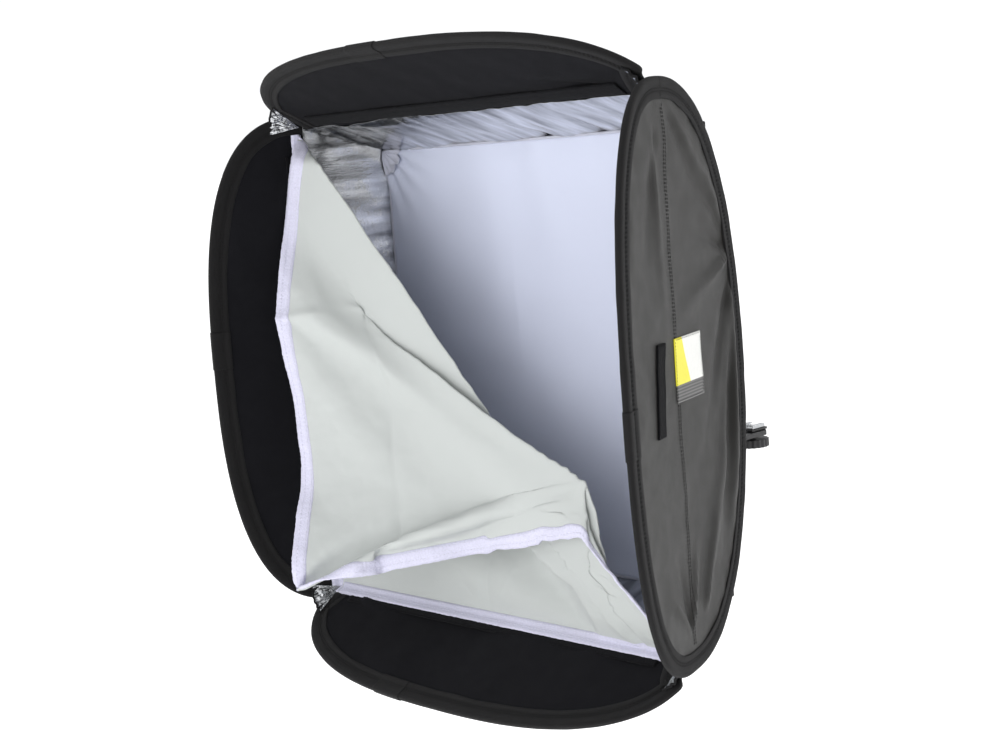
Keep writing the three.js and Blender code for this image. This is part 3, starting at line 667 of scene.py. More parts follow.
def build_tape_overlap(side):
    """The end of the edge tape, turned under and lapped over its own start on the front edge."""
    loop = outline(side, 900)
    front = loop[(loop[:, 1] > 0)]
    start = OVERLAP_AT[side]
    keep = front[(front[:, 0] < start) & (front[:, 0] > start - OVERLAP_LENGTH)]
    keep = keep[np.argsort(keep[:, 0])]
    order = keep if keep[0, 0] > keep[-1, 0] else keep[::-1]
    section = TAPE_SECTION + [(i, -h) for i, h in reversed(TAPE_SECTION)]
    grid = []
    for depth, height in section:
        outward = -OVERLAP_THICK if depth < 0.006 else OVERLAP_THICK
        grid.append(on_panel(side, *inset(order, depth + outward).T, height + math.copysign(OVERLAP_THICK, height)))
    outer = np.stack(grid, axis=1)[3:-3]
    inner = np.stack([on_panel(side, *inset(order, d).T, h * 0.98) for d, h in section], axis=1)[3:-3]
    rows, cols = outer.shape[:2]
    uv = np.stack([np.repeat(order[3:-3, 0], cols), np.tile(np.arange(cols) * 0.002, rows)], axis=1)
    cloth_piece(f"{side}_tape_overlap", outer, inner, BINDING, uv, slot="binding_tape")


def build_pile_strip(side, seed):
    cols, rows = 240, 8
    along = np.linspace(-0.236, 0.236, cols)
    ragged = 0.0006 * lattice(along, along * 0, 0.0016, seed)
    grid_top, grid_low = [], []
    for r in range(rows):
        t = r / (rows - 1)
        slant = 0.003 + 0.019 * t + (ragged if r in (0, rows - 1) else 0)
        rise = 0.0004 * math.sin(math.pi * t) + 0.00015 * lattice(along, along * 0 + t, 0.004, seed + 2)
        grid_top.append(on_panel(side, along, slant, -0.0036 - rise))
        grid_low.append(on_panel(side, along, slant, -0.0023))
    uv = np.stack([np.tile(along, rows), np.repeat(np.linspace(0, 0.02, rows), cols)], axis=1)
    cloth_piece(f"{side}_pile_strip", np.stack(grid_top), np.stack(grid_low), PILE, uv,
                replaces=[f"{side}_loop_strip"], slot="loop_tape")


def cover_edge(side, count):
    """The stretch of a panel's back edge that the rear cover is sewn to, from corner to corner."""
    loop = outline(side, 1200)
    back = loop[loop[:, 1] < -0.104]
    back = back[np.argsort(back[:, 0])]
    steps = run_lengths(back)
    at = np.linspace(0, steps[-1], count)
    return np.stack([np.interp(at, steps, back[:, k]) for k in (0, 1)], axis=1)


def cover_point(side, along, slant, t, lift):
    """Rear cover from a panel's back edge (t 0) to the collar (t 1), lifted outward."""
    widest = np.abs(along).max()
    out = HALF + slant * math.sin(TAIL)
    y = -slant * math.cos(TAIL)
    turn = along / widest * (math.pi / 4)
    end_out, end_along = COLLAR_RADIUS * np.cos(turn), COLLAR_RADIUS * np.sin(turn)
    out_here = out * (1 - t) + end_out * t + lift * 0.75
    along_here = along * (1 - t) + end_along * t
    y_here = y * (1 - t) + COLLAR_Y * t + lift * 0.65
    limit = out_here - 0.0008
    return place(side, np.clip(along_here, -limit, limit), y_here, out_here)


def build_cover(side, seed):
    cols, rows = 130, 60
    edge = cover_edge(side, cols)
    along = edge[:, 0][None, :].repeat(rows, 0)
    slant = edge[:, 1][None, :].repeat(rows, 0)
    t = np.linspace(0.0, 1.0, rows)[:, None].repeat(cols, 1)
    across = np.abs(along) / np.abs(edge[:, 0]).max()
    seam = smooth_step((1 - across) / 0.10)
    waves = np.sin(along * 260 + 4 * lattice(along, t, 0.09, seed))
    gather = 0.0030 * waves * smooth_step((t - 0.35) / 0.65) ** 2 * (1 - smooth_step((t - 0.96) / 0.04) * 0.7)
    pleat = 0.0012 * np.sin(along * 190 + 3 * lattice(along, t, 0.05, seed + 1))
    pleat = pleat * np.exp(-t / 0.10) * smooth_step(t / 0.02)
    sag = -0.010 * np.sin(math.pi * t) * seam
    drape = 0.0035 * cloth_noise(along, t * 0.14, 0.075, seed + 5) * np.sin(math.pi * np.clip(t, 0, 1)) * seam
    lift = sag + drape + (gather + pleat) * seam
    outer = cover_point(side, along, slant, t, lift + 0.0002)
    inner = cover_point(side, along, slant, t, lift - 0.0006)
    verts, faces = slab(outer, inner)
    plain = (t > 0.78) | (across > 0.93)
    inner_face = np.where(plain[:-1, :-1], 0, 1).ravel().tolist()
    which = [0] * len(inner_face) + inner_face + [0] * (len(faces) - 2 * len(inner_face))
    uv = np.stack([along.ravel(), (t * 0.17).ravel()], axis=1)
    make_piece(f"{side}_cover", verts, faces, [NYLON, SILVER], uv=np.vstack([uv, uv]), face_material=which,
               replaces=[f"{side}_rear_cover"], slot="outer_nylon")


def build_cover_seams():
    """Bound seams where two facets of the rear cover meet, from each corner to the collar."""
    start_out = HALF - 0.108 * math.sin(TAIL) - 0.001
    start_y = 0.108 * math.cos(TAIL)
    end = COLLAR_RADIUS * math.sqrt(0.5)
    t = np.linspace(0, 1, 60)
    for corner, (sx, sz) in CORNERS.items():
        out = start_out * (1 - t) + end * t + 0.0012
        y = start_y * (1 - t) + COLLAR_Y * t + 0.0010 * np.sin(t * 60)
        path = np.stack([sx * out, y, sz * out], axis=1) + ORIGIN
        tube(f"{corner}_cover_seam", path, 0.0019, BINDING, slot="binding_tape")


def build_corner_seams():
    """Cloth that closes the slot between a side panel and the end of a top or bottom panel."""
    slant = np.linspace(-0.112, 0.012, 40)
    for corner, (sx, sz) in CORNERS.items():
        flare = np.where(slant > 0, SIDE_LIP, TAIL)
        side_x = HALF + slant * np.sin(flare) - 0.0030
        end_x = corner_limit(slant) - 0.006
        z = HALF + slant * np.sin(np.where(slant > 0, TOP_LIP, TAIL))
        y = -slant * np.cos(flare)
        for part, offset, material, slot in (("outside", 0.0012, NYLON, "outer_nylon"),
                                             ("inside", -0.0012, SILVER, "silver_cloth")):
            columns = []
            for k in range(6):
                t = k / 5
                sag = -0.0010 * math.sin(math.pi * t)
                columns.append(np.stack([sx * (end_x * (1 - t) + side_x * t), y, sz * (z + offset + sag)], axis=1))
            front = np.stack(columns, axis=1) + ORIGIN
            back = front - np.array([0, 0, sz * 0.0006])
            uv = np.stack([np.repeat(slant, 6), np.tile(np.arange(6) * 0.002, 40)], axis=1)
            cloth_piece(f"{corner}_slot_{part}", front, back, material, uv, slot=slot)


GUSSET = ((0.2654, -0.006, 0.2688), (0.2815, -0.037, 0.2618), (0.2640, -0.041, 0.2915))


def build_gusset(corner, sx, sz, seed):
    """Crumpled foil web in a front corner with a black bound free edge."""
    a, b, c = (np.array(p) for p in GUSSET)
    count = 46
    normal = np.cross(b - a, c - a)
    normal /= np.linalg.norm(normal)
    grid = np.zeros((count, count, 3))
    uv = np.zeros((count, count, 2))
    for i in range(count):
        for j in range(count):
            s, t = i / (count - 1), j / (count - 1)
            point = a * (1 - s) + (b * (1 - t) + c * t) * s
            grid[i, j] = point
            uv[i, j] = (s * 0.06, (t - 0.5) * s * 0.06)
    s = np.linspace(0, 1, count)[:, None]
    t = np.linspace(0, 1, count)[None, :]
    crumple = 0.0022 * np.abs(cloth_noise(s * 0.06, t * s * 0.05, 0.011, seed)) - 0.0010
    crumple = crumple + 0.0012 * np.sin(t * 30 + 2 * cloth_noise(s * 0.05, t * 0.05, 0.02, seed + 1))
    pull = -0.006 * np.sin(math.pi * t) * s ** 2
    edge = np.sin(math.pi * np.clip(t, 0.02, 0.98))
    grid += normal * (crumple * edge * s + pull)[..., None]
    mirror = np.array([sx, 1, sz])
    front = grid * mirror + ORIGIN
    back = (grid + normal * 0.0006) * mirror + ORIGIN
    verts, faces = slab(front, back)
    face = (count - 1) ** 2
    which = [1] * face + [0] * face + [1] * (len(faces) - 2 * face)
    make_piece(f"{corner}_foil", verts, faces, [FOIL, NYLON], uv=np.vstack([uv.reshape(-1, 2)] * 2),
               face_material=which, replaces=[f"{corner}_gusset"], slot="silver_cloth")
    tube(f"{corner}_foil_edge", (grid[-1] * mirror + ORIGIN), 0.0013, HEM_BLACK, slot="binding_tape")


for number, side_name in enumerate(SIDES):
    build_panel(side_name, 100 * number + 1)
    build_tape(side_name, 100 * number + 21)
    build_tape_overlap(side_name)
    build_pile_strip(side_name, 100 * number + 31)
    build_cover(side_name, 100 * number + 51)
build_cover_seams()
build_corner_seams()
for number, (corner_name, (sign_x, sign_z)) in enumerate(CORNERS.items()):
    build_gusset(corner_name, sign_x, sign_z, 900 + 7 * number)


# ---------------------------------------------------------------- front diffuser: cloth, hems, creases

SHEET_CELLS = 56
FRAMES = 80
# The fold on the flat sheet, from the top left corner to the right edge, and the depths its blend runs between.
FOLD_FROM = np.array([-0.262, 0.262])
FOLD_TO = np.array([0.262, -0.184])
FOLD_NEAR = 0.0160
FOLD_FAR = 0.0345
# The camera's line of sight, per metre of depth: cloth moved along it keeps its place in the picture.
LEAN = np.array([1.065, -1.0, 0.191])
# Guide points that the released cloth is pulled to: (across, up) on the flat sheet, then its place in the
# box's frame when hanging, and on the way there. They are set from the photographed view, not found by the cloth.
TIP = ((0.540, 0.540), (-0.1680, -0.1390, -0.2280), (0.030, -0.340, 0.030))
TOP_KINK = ((0.222, 0.540), (-0.2404, -0.0800, 0.0573), (-0.130, -0.200, 0.157))
RIGHT_KINK = ((0.540, 0.200), (0.0930, 0.0300, -0.1680), (0.180, -0.080, -0.116))
BULGE = ((0.460, 0.190), (0.1390, 0.0000, -0.1051), (0.165, -0.030, -0.089))
LOW_HEM = ((0.540, 0.416), (-0.0790, -0.0900, -0.2100), (0.090, -0.200, -0.060))
LOW_HEM_TOP = ((0.518, 0.416), (-0.0830, -0.0925, -0.1885), (0.080, -0.200, -0.040))
MID_HEM = ((0.540, 0.310), (0.0240, -0.0300, -0.1880), (0.140, -0.140, -0.090))
MID_HEM_TOP = ((0.518, 0.310), (0.0220, -0.0330, -0.1665), (0.130, -0.140, -0.070))
EDGE_LOW = ((0.502, 0.060), (0.1960, -0.0300, -0.2290), (0.210, -0.045, -0.210))
EDGE_MID = ((0.502, 0.115), (0.1636, -0.0260, -0.1915), (0.190, -0.060, -0.165))
EDGE_INNER = ((0.440, 0.090), (0.1500, -0.0350, -0.1950), (0.165, -0.050, -0.175))
RIGHT_LOW = ((0.540, 0.067), (0.2110, 0.0033, -0.2360), (0.240, -0.010, -0.220))
RIGHT_MID = ((0.540, 0.133), (0.1520, 0.0167, -0.2020), (0.205, -0.030, -0.170))
GUIDES = (TOP_KINK, RIGHT_KINK, BULGE, LOW_HEM, LOW_HEM_TOP, MID_HEM, MID_HEM_TOP, EDGE_LOW, EDGE_MID, EDGE_INNER,
          RIGHT_LOW, RIGHT_MID)


def fastened_edge(distance, flare):
    """Outward place and depth of a fastened edge: the hem lies on the lip's strip, the cloth spans the opening."""
    slant = HEM_REACH - distance
    start = HALF - STRIP_FACE * math.cos(flare)
    if slant <= 0:
        return start + slant, SHEET_Y
    return start + slant * math.sin(flare), min(SHEET_Y, -slant * math.cos(flare) - STRIP_FACE * math.sin(flare))


def sheet_layout(n):
    points = []
    for row in range(n + 1):
        down, front_bottom = fastened_edge(SHEET_SIZE * row / n, TOP_LIP)
        for column in range(n + 1):
            left, front_left = fastened_edge(SHEET_SIZE * column / n, SIDE_LIP)
            points.append((-left, min(front_left, front_bottom), -down))
    return np.array(points)


def simulate_diffuser():
    """Cloth fastened along its left and bottom edges, its free corner and the guide points led to where they hang."""
    n = SHEET_CELLS
    flat = sheet_layout(n)
    mesh = bpy.data.meshes.new("diffuser_sim")
    mesh.from_pydata([tuple(p) for p in flat], [], grid_faces(n + 1, n + 1))
    cloth = bpy.data.objects.new("diffuser_sim", mesh)
    bpy.context.scene.collection.objects.link(cloth)
    cloth.shape_key_add(name="Basis")
    lifted = cloth.shape_key_add(name="lifted")
    hung = cloth.shape_key_add(name="hung")
    pins = cloth.vertex_groups.new(name="pins")
    for i in range(len(flat)):
        column, row = i % (n + 1), i // (n + 1)
        if min(column, row) * SHEET_SIZE / n < HEM_WIDTH:
            pins.add([i], 1.0, "REPLACE")
        if column >= n - 1 and row >= n - 1:
            pins.add([i], 1.0, "REPLACE")
            hung.data[i].co, lifted.data[i].co = TIP[1], TIP[2]
    for (across, up), place_hung, place_lifted in GUIDES:
        i = round(n * up / SHEET_SIZE) * (n + 1) + round(n * across / SHEET_SIZE)
        pins.add([i], 1.0, "REPLACE")
        hung.data[i].co, lifted.data[i].co = place_hung, place_lifted
    for key, steps in ((lifted, ((1, 0), (25, 1), (50, 0))), (hung, ((25, 0), (50, 1)))):
        for at_frame, value in steps:
            key.value = value
            key.keyframe_insert("value", frame=at_frame)
    modifier = cloth.modifiers.new("Cloth", "CLOTH")
    settings = modifier.settings
    settings.vertex_group_mass = "pins"
    settings.quality = 10
    settings.mass = 0.05
    settings.tension_stiffness = settings.compression_stiffness = 60
    settings.shear_stiffness = 5
    settings.bending_stiffness = 5
    settings.tension_damping = settings.compression_damping = settings.shear_damping = 8
    settings.bending_damping = 0.5
    settings.air_damping = 2
    modifier.collision_settings.use_self_collision = True
    modifier.collision_settings.self_distance_min = 0.003
    modifier.collision_settings.distance_min = 0.003
    modifier.point_cache.frame_start = 1
    modifier.point_cache.frame_end = FRAMES
    scene = bpy.context.scene
    for at_frame in range(1, FRAMES + 1):
        scene.frame_set(at_frame)
    hung_mesh = cloth.evaluated_get(bpy.context.evaluated_depsgraph_get()).to_mesh()
    points = np.array([v.co[:] for v in hung_mesh.vertices]).reshape(n + 1, n + 1, 3)
    bpy.data.objects.remove(cloth)
    scene.frame_set(1)
    return points


def spline_rows(grid, count):
    """Catmull-Rom resampling of the first axis of a grid of points."""
    n = grid.shape[0]
    at = np.linspace(0, n - 1, count)
    i = np.clip(np.floor(at).astype(int), 0, n - 2)
    f = (at - i).reshape(-1, *([1] * (grid.ndim - 1)))
    padded = np.concatenate([2 * grid[:1] - grid[1:2], grid, 2 * grid[-1:] - grid[-2:-1]])
    p0, p1, p2, p3 = padded[i], padded[i + 1], padded[i + 2], padded[i + 3]
    return 0.5 * (2 * p1 + (p2 - p0) * f + (2 * p0 - 5 * p1 + 4 * p2 - p3) * f ** 2
                  + (3 * p1 - p0 - 3 * p2 + p3) * f ** 3)


def resample(grid, count):
    return np.swapaxes(spline_rows(np.swapaxes(spline_rows(grid, count), 0, 1), count), 0, 1)


def lean_forward(points, s, t):
    """Moves the cloth near the fold along the line of sight, so that its depth grows with the distance past the fold.

    The depth is set here, not by the cloth's own weight.
    """
    along = (FOLD_TO - FOLD_FROM) / np.linalg.norm(FOLD_TO - FOLD_FROM)
    past = (FOLD_FROM[0] - s * SHEET_SIZE + HALF) * along[1] + (t * SHEET_SIZE - HALF - FOLD_FROM[1]) * along[0]
    depth = points[..., 1]
    behind = np.maximum(depth, -FOLD_NEAR)
    rolled = np.interp(past, (-0.13, -0.09, 0.08, 0.13), (-0.010, -FOLD_NEAR + 0.001, -FOLD_FAR, -FOLD_FAR - 0.006))
    hanging = -FOLD_FAR - 0.003 - 0.004 * np.logaddexp(0, (-FOLD_FAR - 0.003 - depth) / 0.004)
    wanted = behind + (rolled - behind) * smooth_step((past + 0.13) / 0.05)
    wanted = wanted + (hanging - wanted) * smooth_step((past - 0.05) / 0.06)
    free = smooth_step((np.minimum(s, t) - 0.03) / 0.06)
    return points + LEAN * ((depth - wanted) * free)[..., None]


FINE = 197
sheet_s, sheet_t = np.meshgrid(np.linspace(0, 1, FINE), np.linspace(0, 1, FINE))
sheet_cells = simulate_diffuser()
sheet_points = resample(sheet_cells, FINE)
sheet_normals = normals_of(sheet_points)


def crease(distance, width):
    return np.exp(-np.abs(distance) / width)


def ridge(across, width, height, where=1.0):
    """A storage crease: a line the cloth was folded along, still standing a little proud."""
    return height * crease(across, width) * where


fastened = smooth_step((np.minimum(sheet_s, sheet_t) - 0.03) / 0.06)
on_flap = smooth_step((sheet_s + sheet_t - 1.05) / 0.10)
crease_relief = (ridge(sheet_s - 0.411, 0.016, 0.0042, on_flap)
                 + ridge(sheet_t - 0.770, 0.018, -0.0034, on_flap)
                 + ridge(sheet_s - 0.500, 0.014, 0.0030, 1 - on_flap)
                 + ridge(sheet_s - sheet_t * 0.55 - 0.500, 0.010, -0.0014, smooth_step((0.22 - sheet_t) / 0.2))
                 + ridge(sheet_s + sheet_t * 0.85 - 0.500, 0.010, 0.0014, smooth_step((0.22 - sheet_t) / 0.2))
                 + ridge(sheet_t - 0.500, 0.020, 0.0016)
                 + 0.0016 * cloth_noise(sheet_s, sheet_t, 0.15, 77)
                 + 0.0008 * cloth_noise(sheet_s, sheet_t, 0.045, 78))
sheet_points = lean_forward(sheet_points - sheet_normals * (crease_relief * fastened)[..., None], sheet_s, sheet_t)
sheet_normals = normals_of(sheet_points)
SHEET_UV = np.stack([sheet_s * SHEET_SIZE, sheet_t * SHEET_SIZE], axis=-1)


def hang_on_fold(obj):
    """Bakes the piece's placement into its mesh; no blend to a turning flap is made here."""
    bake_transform(obj)


def build_diffuser():
    thickness = 0.0004
    front = sheet_points + sheet_normals * thickness + ORIGIN
    back = sheet_points - sheet_normals * thickness + ORIGIN
    obj = cloth_piece("front_diffuser_cloth", front, back, DIFFUSER, SHEET_UV.reshape(-1, 2), body=None,
                      replaces=["front_diffuser", "diffuser_flap"], slot="diffuser_cloth")
    hang_on_fold(obj)
    return obj


def build_hem(name, rows, cols, body, nodes, outer_last, both_faces):
    """White hook tape sewn along one edge of the diffuser, with a ragged outer edge and two rows of stitches."""
    patch, normal = sheet_points[rows, cols], sheet_normals[rows, cols]
    if patch.shape[0] < patch.shape[1]:
        patch, normal = np.swapaxes(patch, 0, 1), np.swapaxes(normal, 0, 1)
    if not outer_last:
        patch, normal = patch[:, ::-1], normal[:, ::-1]
    patch, normal = spline_rows(patch, patch.shape[0] * 3), spline_rows(normal, normal.shape[0] * 3)
    normal = normal / np.linalg.norm(normal, axis=2, keepdims=True)
    count, across = patch.shape[:2]
    along = np.arange(count) * SHEET_SIZE / count
    outward = patch[:, -1] - patch[:, -2]
    outward /= np.linalg.norm(outward, axis=1, keepdims=True)
    ragged = 0.0004 + 0.0004 * lattice(along, along * 0, 0.0019, 5)
    patch = patch.copy()
    patch[:, -1] += outward * ragged[:, None]
    fuzz = 0.00016 * lattice(along, along * 0, 0.0022, 6)
    puff = np.interp(np.arange(across), (0, 1, across - 2, across - 1), (0.0007, 0.0014, 0.0014, 0.0010))
    thick = puff[None, :] + fuzz[:, None]
    front_thick = thick if both_faces else np.where(np.arange(across)[None, :] >= across - 2, thick, 0.0001)
    front = patch + normal * front_thick[..., None] + ORIGIN
    back = patch - normal * thick[..., None] + ORIGIN
    uv = np.stack([np.repeat(along, across), np.tile(np.linspace(0, HEM_WIDTH, across), count)], axis=1)
    obj = cloth_piece(name, front, back, HOOK_WHITE, uv, body=body, replaces=nodes, slot="hook_tape")
    pieces = [obj]
    for face, sign in (("front", 1), ("back", -1)):
        if sign > 0 and not both_faces:
            continue
        paths = [patch[:, k] + normal[:, k] * 0.0013 * sign + ORIGIN for k in (1, across - 3)]
        pieces.append(stitches(f"{name}_stitches_{face}", paths, [normal[:, 1] * sign] * 2, THREAD_WHITE,
                               pitch=0.0045, length=0.0033, radius=0.0003, lift=0.0003, body=body))
    if body is None:
        for piece in pieces:
            hang_on_fold(piece)
    return pieces


HEM_CELLS = 7


def build_front():
    cloth = build_diffuser()
    width = HEM_CELLS
    every, inner, last = slice(0, FINE), slice(width, FINE), slice(FINE - width, FINE)
    hems = build_hem("hem_left", every, slice(0, width), "softbox", ["diffuser_hem_left"], False, True)
    hems += build_hem("hem_bottom", slice(0, width), inner, "softbox", ["diffuser_hem_bottom"], False, True)
    hems += build_hem("hem_top", last, inner, None, ["flap_hem_top"], True, False)
    hems += build_hem("hem_right", slice(width, FINE - width), last, None, ["flap_hem_right", "diffuser_hem_right"],
                      True, False)


build_front()


# ---------------------------------------------------------------- inner diffuser

def build_inner():
    count = 120
    span = np.linspace(-INNER_HALF, INNER_HALF, count)
    x, z = np.meshgrid(span, span)
    u, v = x / INNER_HALF, z / INNER_HALF
    edge = np.minimum(1 - np.abs(u), 1 - np.abs(v))
    corner = np.abs(u) * np.abs(v)
    spread = np.arctan2(INNER_HALF * 1.05 - np.abs(z), INNER_HALF * 1.05 - np.abs(x))
    rays = 0.0026 * np.sin(spread * 22 + 2 * np.sign(x) + np.sign(z)) * smooth_step((corner - 0.45) / 0.5)
    hanging = 0.0030 * np.sin(x * 62 + 3 * lattice(x, z, 0.2, 5)) * smooth_step((v + 0.1) / 1.0) * (1 - corner)
    crease_line = 0.0016 * crease(x + 0.032, 0.004) * smooth_step(1 - np.abs(z - 0.05) / 0.12)
    relief = rays + hanging + crease_line + 0.0022 * cloth_noise(x, z, 0.14, 31) * smooth_step(edge / 0.1)
    scallop_x = x * (1 - np.where(x < 0, 0.003, 0.008) * (1 - v ** 2))
    scallop_z = z * (1 - np.where(z > 0, 0.003, 0.008) * (1 - u ** 2))
    points = np.stack([scallop_x, INNER_Y - relief, scallop_z], axis=-1)
    front = points - np.array([0, 0.0003, 0]) + ORIGIN
    back = points + np.array([0, 0.0003, 0]) + ORIGIN
    uv = np.stack([x.ravel(), z.ravel()], axis=1)
    cloth = cloth_piece("inner_diffuser_cloth", front, back, INNER, uv, replaces=["inner_diffuser"],
                        slot="inner_diffuser_cloth")
    rim = np.concatenate([points[0, :-1], points[:-1, -1], points[-1, :0:-1], points[:0:-1, 0]]) + ORIGIN
    piping = tube("inner_diffuser_piping", rim, 0.0016, PIPING, closed=True, slot="inner_diffuser_cloth")
    tabs = [build_inner_tab(corner_name, *signs) for corner_name, signs in CORNERS.items()]


def build_inner_tab(corner, sx, sz):
    """Bunched cloth where the elastic in the edge draws the diffuser's corner together."""
    rows, cols = 20, 90
    t = np.linspace(0, 1, rows)[:, None]
    turn = np.linspace(math.radians(170), math.radians(280), cols)[None, :]
    seed = 300 + (sx > 0) + 2 * (sz > 0)
    reach = 0.026 + 0.004 * lattice(turn, turn * 0, 0.17, seed)
    r = t * reach
    pleats = 0.0026 * np.abs(np.sin(turn * 7.5 + lattice(turn, t + turn * 0, 0.4, seed)))
    pleats = pleats * np.sin(math.pi * (0.12 + 0.8 * t))
    bunch = 0.0022 * (1 - t) + 0.0010 * cloth_noise(r * np.cos(turn), r * np.sin(turn), 0.006, seed + 4)
    x = np.minimum(INNER_HALF - 0.001 + r * np.cos(turn), INNER_HALF)
    z = np.minimum(INNER_HALF - 0.001 + r * np.sin(turn), INNER_HALF)
    lift = np.maximum(pleats + bunch, 0.0006) + 0.0026
    points = np.stack([sx * x, INNER_Y - lift, sz * z], axis=-1)
    front = points - np.array([0, 0.0004, 0]) + ORIGIN
    back = points + np.array([0, 0.0004, 0]) + ORIGIN
    uv = np.stack([(r * np.cos(turn)).ravel(), (r * np.sin(turn)).ravel()], axis=1)
    return cloth_piece(f"inner_tab_{corner}", front, back, PIPING, uv, slot="inner_diffuser_cloth")


build_inner()


# ---------------------------------------------------------------- label, outer strip and seam on the right panel

def stitch_row(side, along, slant, height):
    """A path on a panel for a row of stitches, with the direction off the cloth at each point."""
    path = on_panel(side, along, slant, height)
    return path, (on_panel(side, along, slant, height + 0.001) - path) * 1000


def patch_on_panel(name, side, low, high, height, thickness, material, node, slot, rows=24, cols=36, skew=0.0):
    """A thin sewn patch that follows a panel; low and high are its (along, slant) corners."""
    seed = 1
    along = np.linspace(low[0], high[0], rows)[:, None].repeat(cols, 1)
    t = (along - low[0]) / (high[0] - low[0])
    slant = np.linspace(low[1], high[1], cols)[None, :].repeat(rows, 0) + skew * (1 - t)
    lift = panel_relief(side, along, slant, seed) + height
    top = on_panel(side, along, slant, lift + thickness)
    bottom = on_panel(side, along, slant, lift - 0.0006)
    u = 1 - (slant - low[1]) / (high[1] - low[1]) if name == "label_patch" else slant
    uv = np.stack([u.ravel(), (t if name == "label_patch" else along).ravel()], axis=1)
    cloth_piece(name, top, bottom, material, uv, replaces=[node], slot=slot)
    margin = 0.0016
    rim = [(low[0] + margin, low[1] + margin), (high[0] - margin, low[1] + margin),
           (high[0] - margin, high[1] - margin), (low[0] + margin, high[1] - margin)]
    seams = []
    for (a0, s0), (a1, s1) in zip(rim, rim[1:] + rim[:1]):
        a = np.linspace(a0, a1, 40)
        s = np.linspace(s0, s1, 40) + skew * (1 - (a - low[0]) / (high[0] - low[0]))
        seams.append(stitch_row(side, a, s, panel_relief(side, a, s, seed) + height + thickness))
    stitches(f"{name}_stitches", *zip(*seams), THREAD_BLACK, pitch=0.003, length=0.0021, radius=0.00022)


patch_on_panel("label_patch", "right", (-0.022, -0.060), (0.039, 0.004), 0.0021, 0.0007, LABEL, "label", "label_patch")
patch_on_panel("outer_strip", "right", (-0.047, 0.030), (0.039, 0.048), 0.0021, 0.0016, PILE, "outer_hook_strip",
               "loop_tape", skew=0.010)


def build_edge_seam(side, seed):
    """Stitched seam on the outside of a panel, along the line where the front diffuser fastens inside."""
    reach = half_width(side, np.array([0.0]), 0.024)[0]
    along = np.linspace(-reach, reach, 260)
    seams = []
    for slant in (-0.0022, 0.0022):
        s = np.full_like(along, slant)
        seams.append(stitch_row(side, along, s, panel_relief(side, along, s, seed) + 0.0020))
    stitches(f"{side}_edge_seam", *zip(*seams), THREAD_BLACK, pitch=0.0036, length=0.0026, radius=0.00028)


for number, side_name in enumerate(SIDES):
    build_edge_seam(side_name, 100 * number + 1)


# ---------------------------------------------------------------- collar, ring and bracket

def lathe_y(name, profile, centre, material, body, segments=128, **kwargs):
    """Closed ring turned about the Y axis; profile is (radius, y)."""
    turn = np.arange(segments) / segments * 2 * math.pi
    rings = [np.stack([r * np.cos(turn), np.full(segments, y), r * np.sin(turn)], axis=1) for r, y in profile]
    grid = np.stack(rings) + np.asarray(centre)
    return make_piece(name, grid.reshape(-1, 3), grid_faces(len(profile), segments, close_rows=True, close_cols=True),
                      material, body=body, **kwargs)


def rounded(points, radius, steps=4):
    """A closed profile with its corners rounded."""
    out = []
    count = len(points)
    for i, p in enumerate(points):
        before, after = np.array(points[i - 1]), np.array(points[(i + 1) % count])
        p = np.array(p, dtype=float)
        a = p + (before - p) / np.linalg.norm(before - p) * radius
        b = p + (after - p) / np.linalg.norm(after - p) * radius
        for k in range(steps + 1):
            t = k / steps
            out.append((1 - t) ** 2 * a + 2 * t * (1 - t) * p + t ** 2 * b)
    return [tuple(q) for q in out]


def build_collar():
    segments = 360
    turn = np.arange(segments) / segments * 2 * math.pi
    rows = []
    profile = [(0.0758, 0.258), (0.0784, 0.2576), (0.0790, 0.262), (0.0787, 0.268), (0.0790, 0.276), (0.0786, 0.282),
               (0.0758, 0.2824)]
    for k, (r, y) in enumerate(profile):
        ruffle = 0.0008 * np.sin(turn * 64 + 2 * lattice(turn, turn * 0, 0.3, 8)) * (0.2 if k in (0, 6) else 1)
        radius = r + ruffle * (1 if k in (1, 2, 4, 5) else 0.3)
        rows.append(np.stack([radius * np.cos(turn), np.full(segments, y), radius * np.sin(turn)], axis=1))
    grid = np.stack(rows) + ORIGIN
    uv = np.stack([np.tile(turn * 0.078, len(profile)), np.repeat(np.arange(len(profile)) * 0.004, segments)], axis=1)
    make_piece("collar_band", grid.reshape(-1, 3), grid_faces(len(profile), segments, close_rows=True, close_cols=True),
               BINDING, uv=uv, replaces=["rear_collar"], slot="binding_tape")


def refine(node, name, body, material, bevel=0.0006, angle=30):
    """A finer copy of a rigid CAD part: flat faces merged, edges rounded, shading smoothed."""
    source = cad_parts[node]
    mesh = source.data.copy()
    obj = bpy.data.objects.new(name, mesh)
    bpy.context.scene.collection.objects.link(obj)
    mesh.materials.clear()
    mesh.materials.append(material)
    weld = obj.modifiers.new("weld", "WELD")
    weld.merge_threshold = 0.00001
    flat = obj.modifiers.new("flat", "DECIMATE")
    flat.decimate_type = "DISSOLVE"
    flat.angle_limit = math.radians(1)
    edge = obj.modifiers.new("edge", "BEVEL")
    edge.width = bevel
    edge.segments = 2
    edge.limit_method = "ANGLE"
    edge.angle_limit = math.radians(angle)
    edge.harden_normals = False
    mesh.polygons.foreach_set("use_smooth", [True] * len(mesh.polygons))
    normal = obj.modifiers.new("normals", "WEIGHTED_NORMAL")
    normal.keep_sharp = True
    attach(obj, body)
    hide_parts(node)
    return obj


build_collar()
RING_PROFILE = rounded([(0.062, 0.262), (0.075, 0.262), (0.075, 0.285), (0.088, 0.285), (0.088, 0.290), (0.062, 0.290)],
                       0.0008)
lathe_y("speed_ring_turned", RING_PROFILE, ORIGIN, BLACK_METAL, "bracket", replaces=["speed_ring"], slot="black_metal")

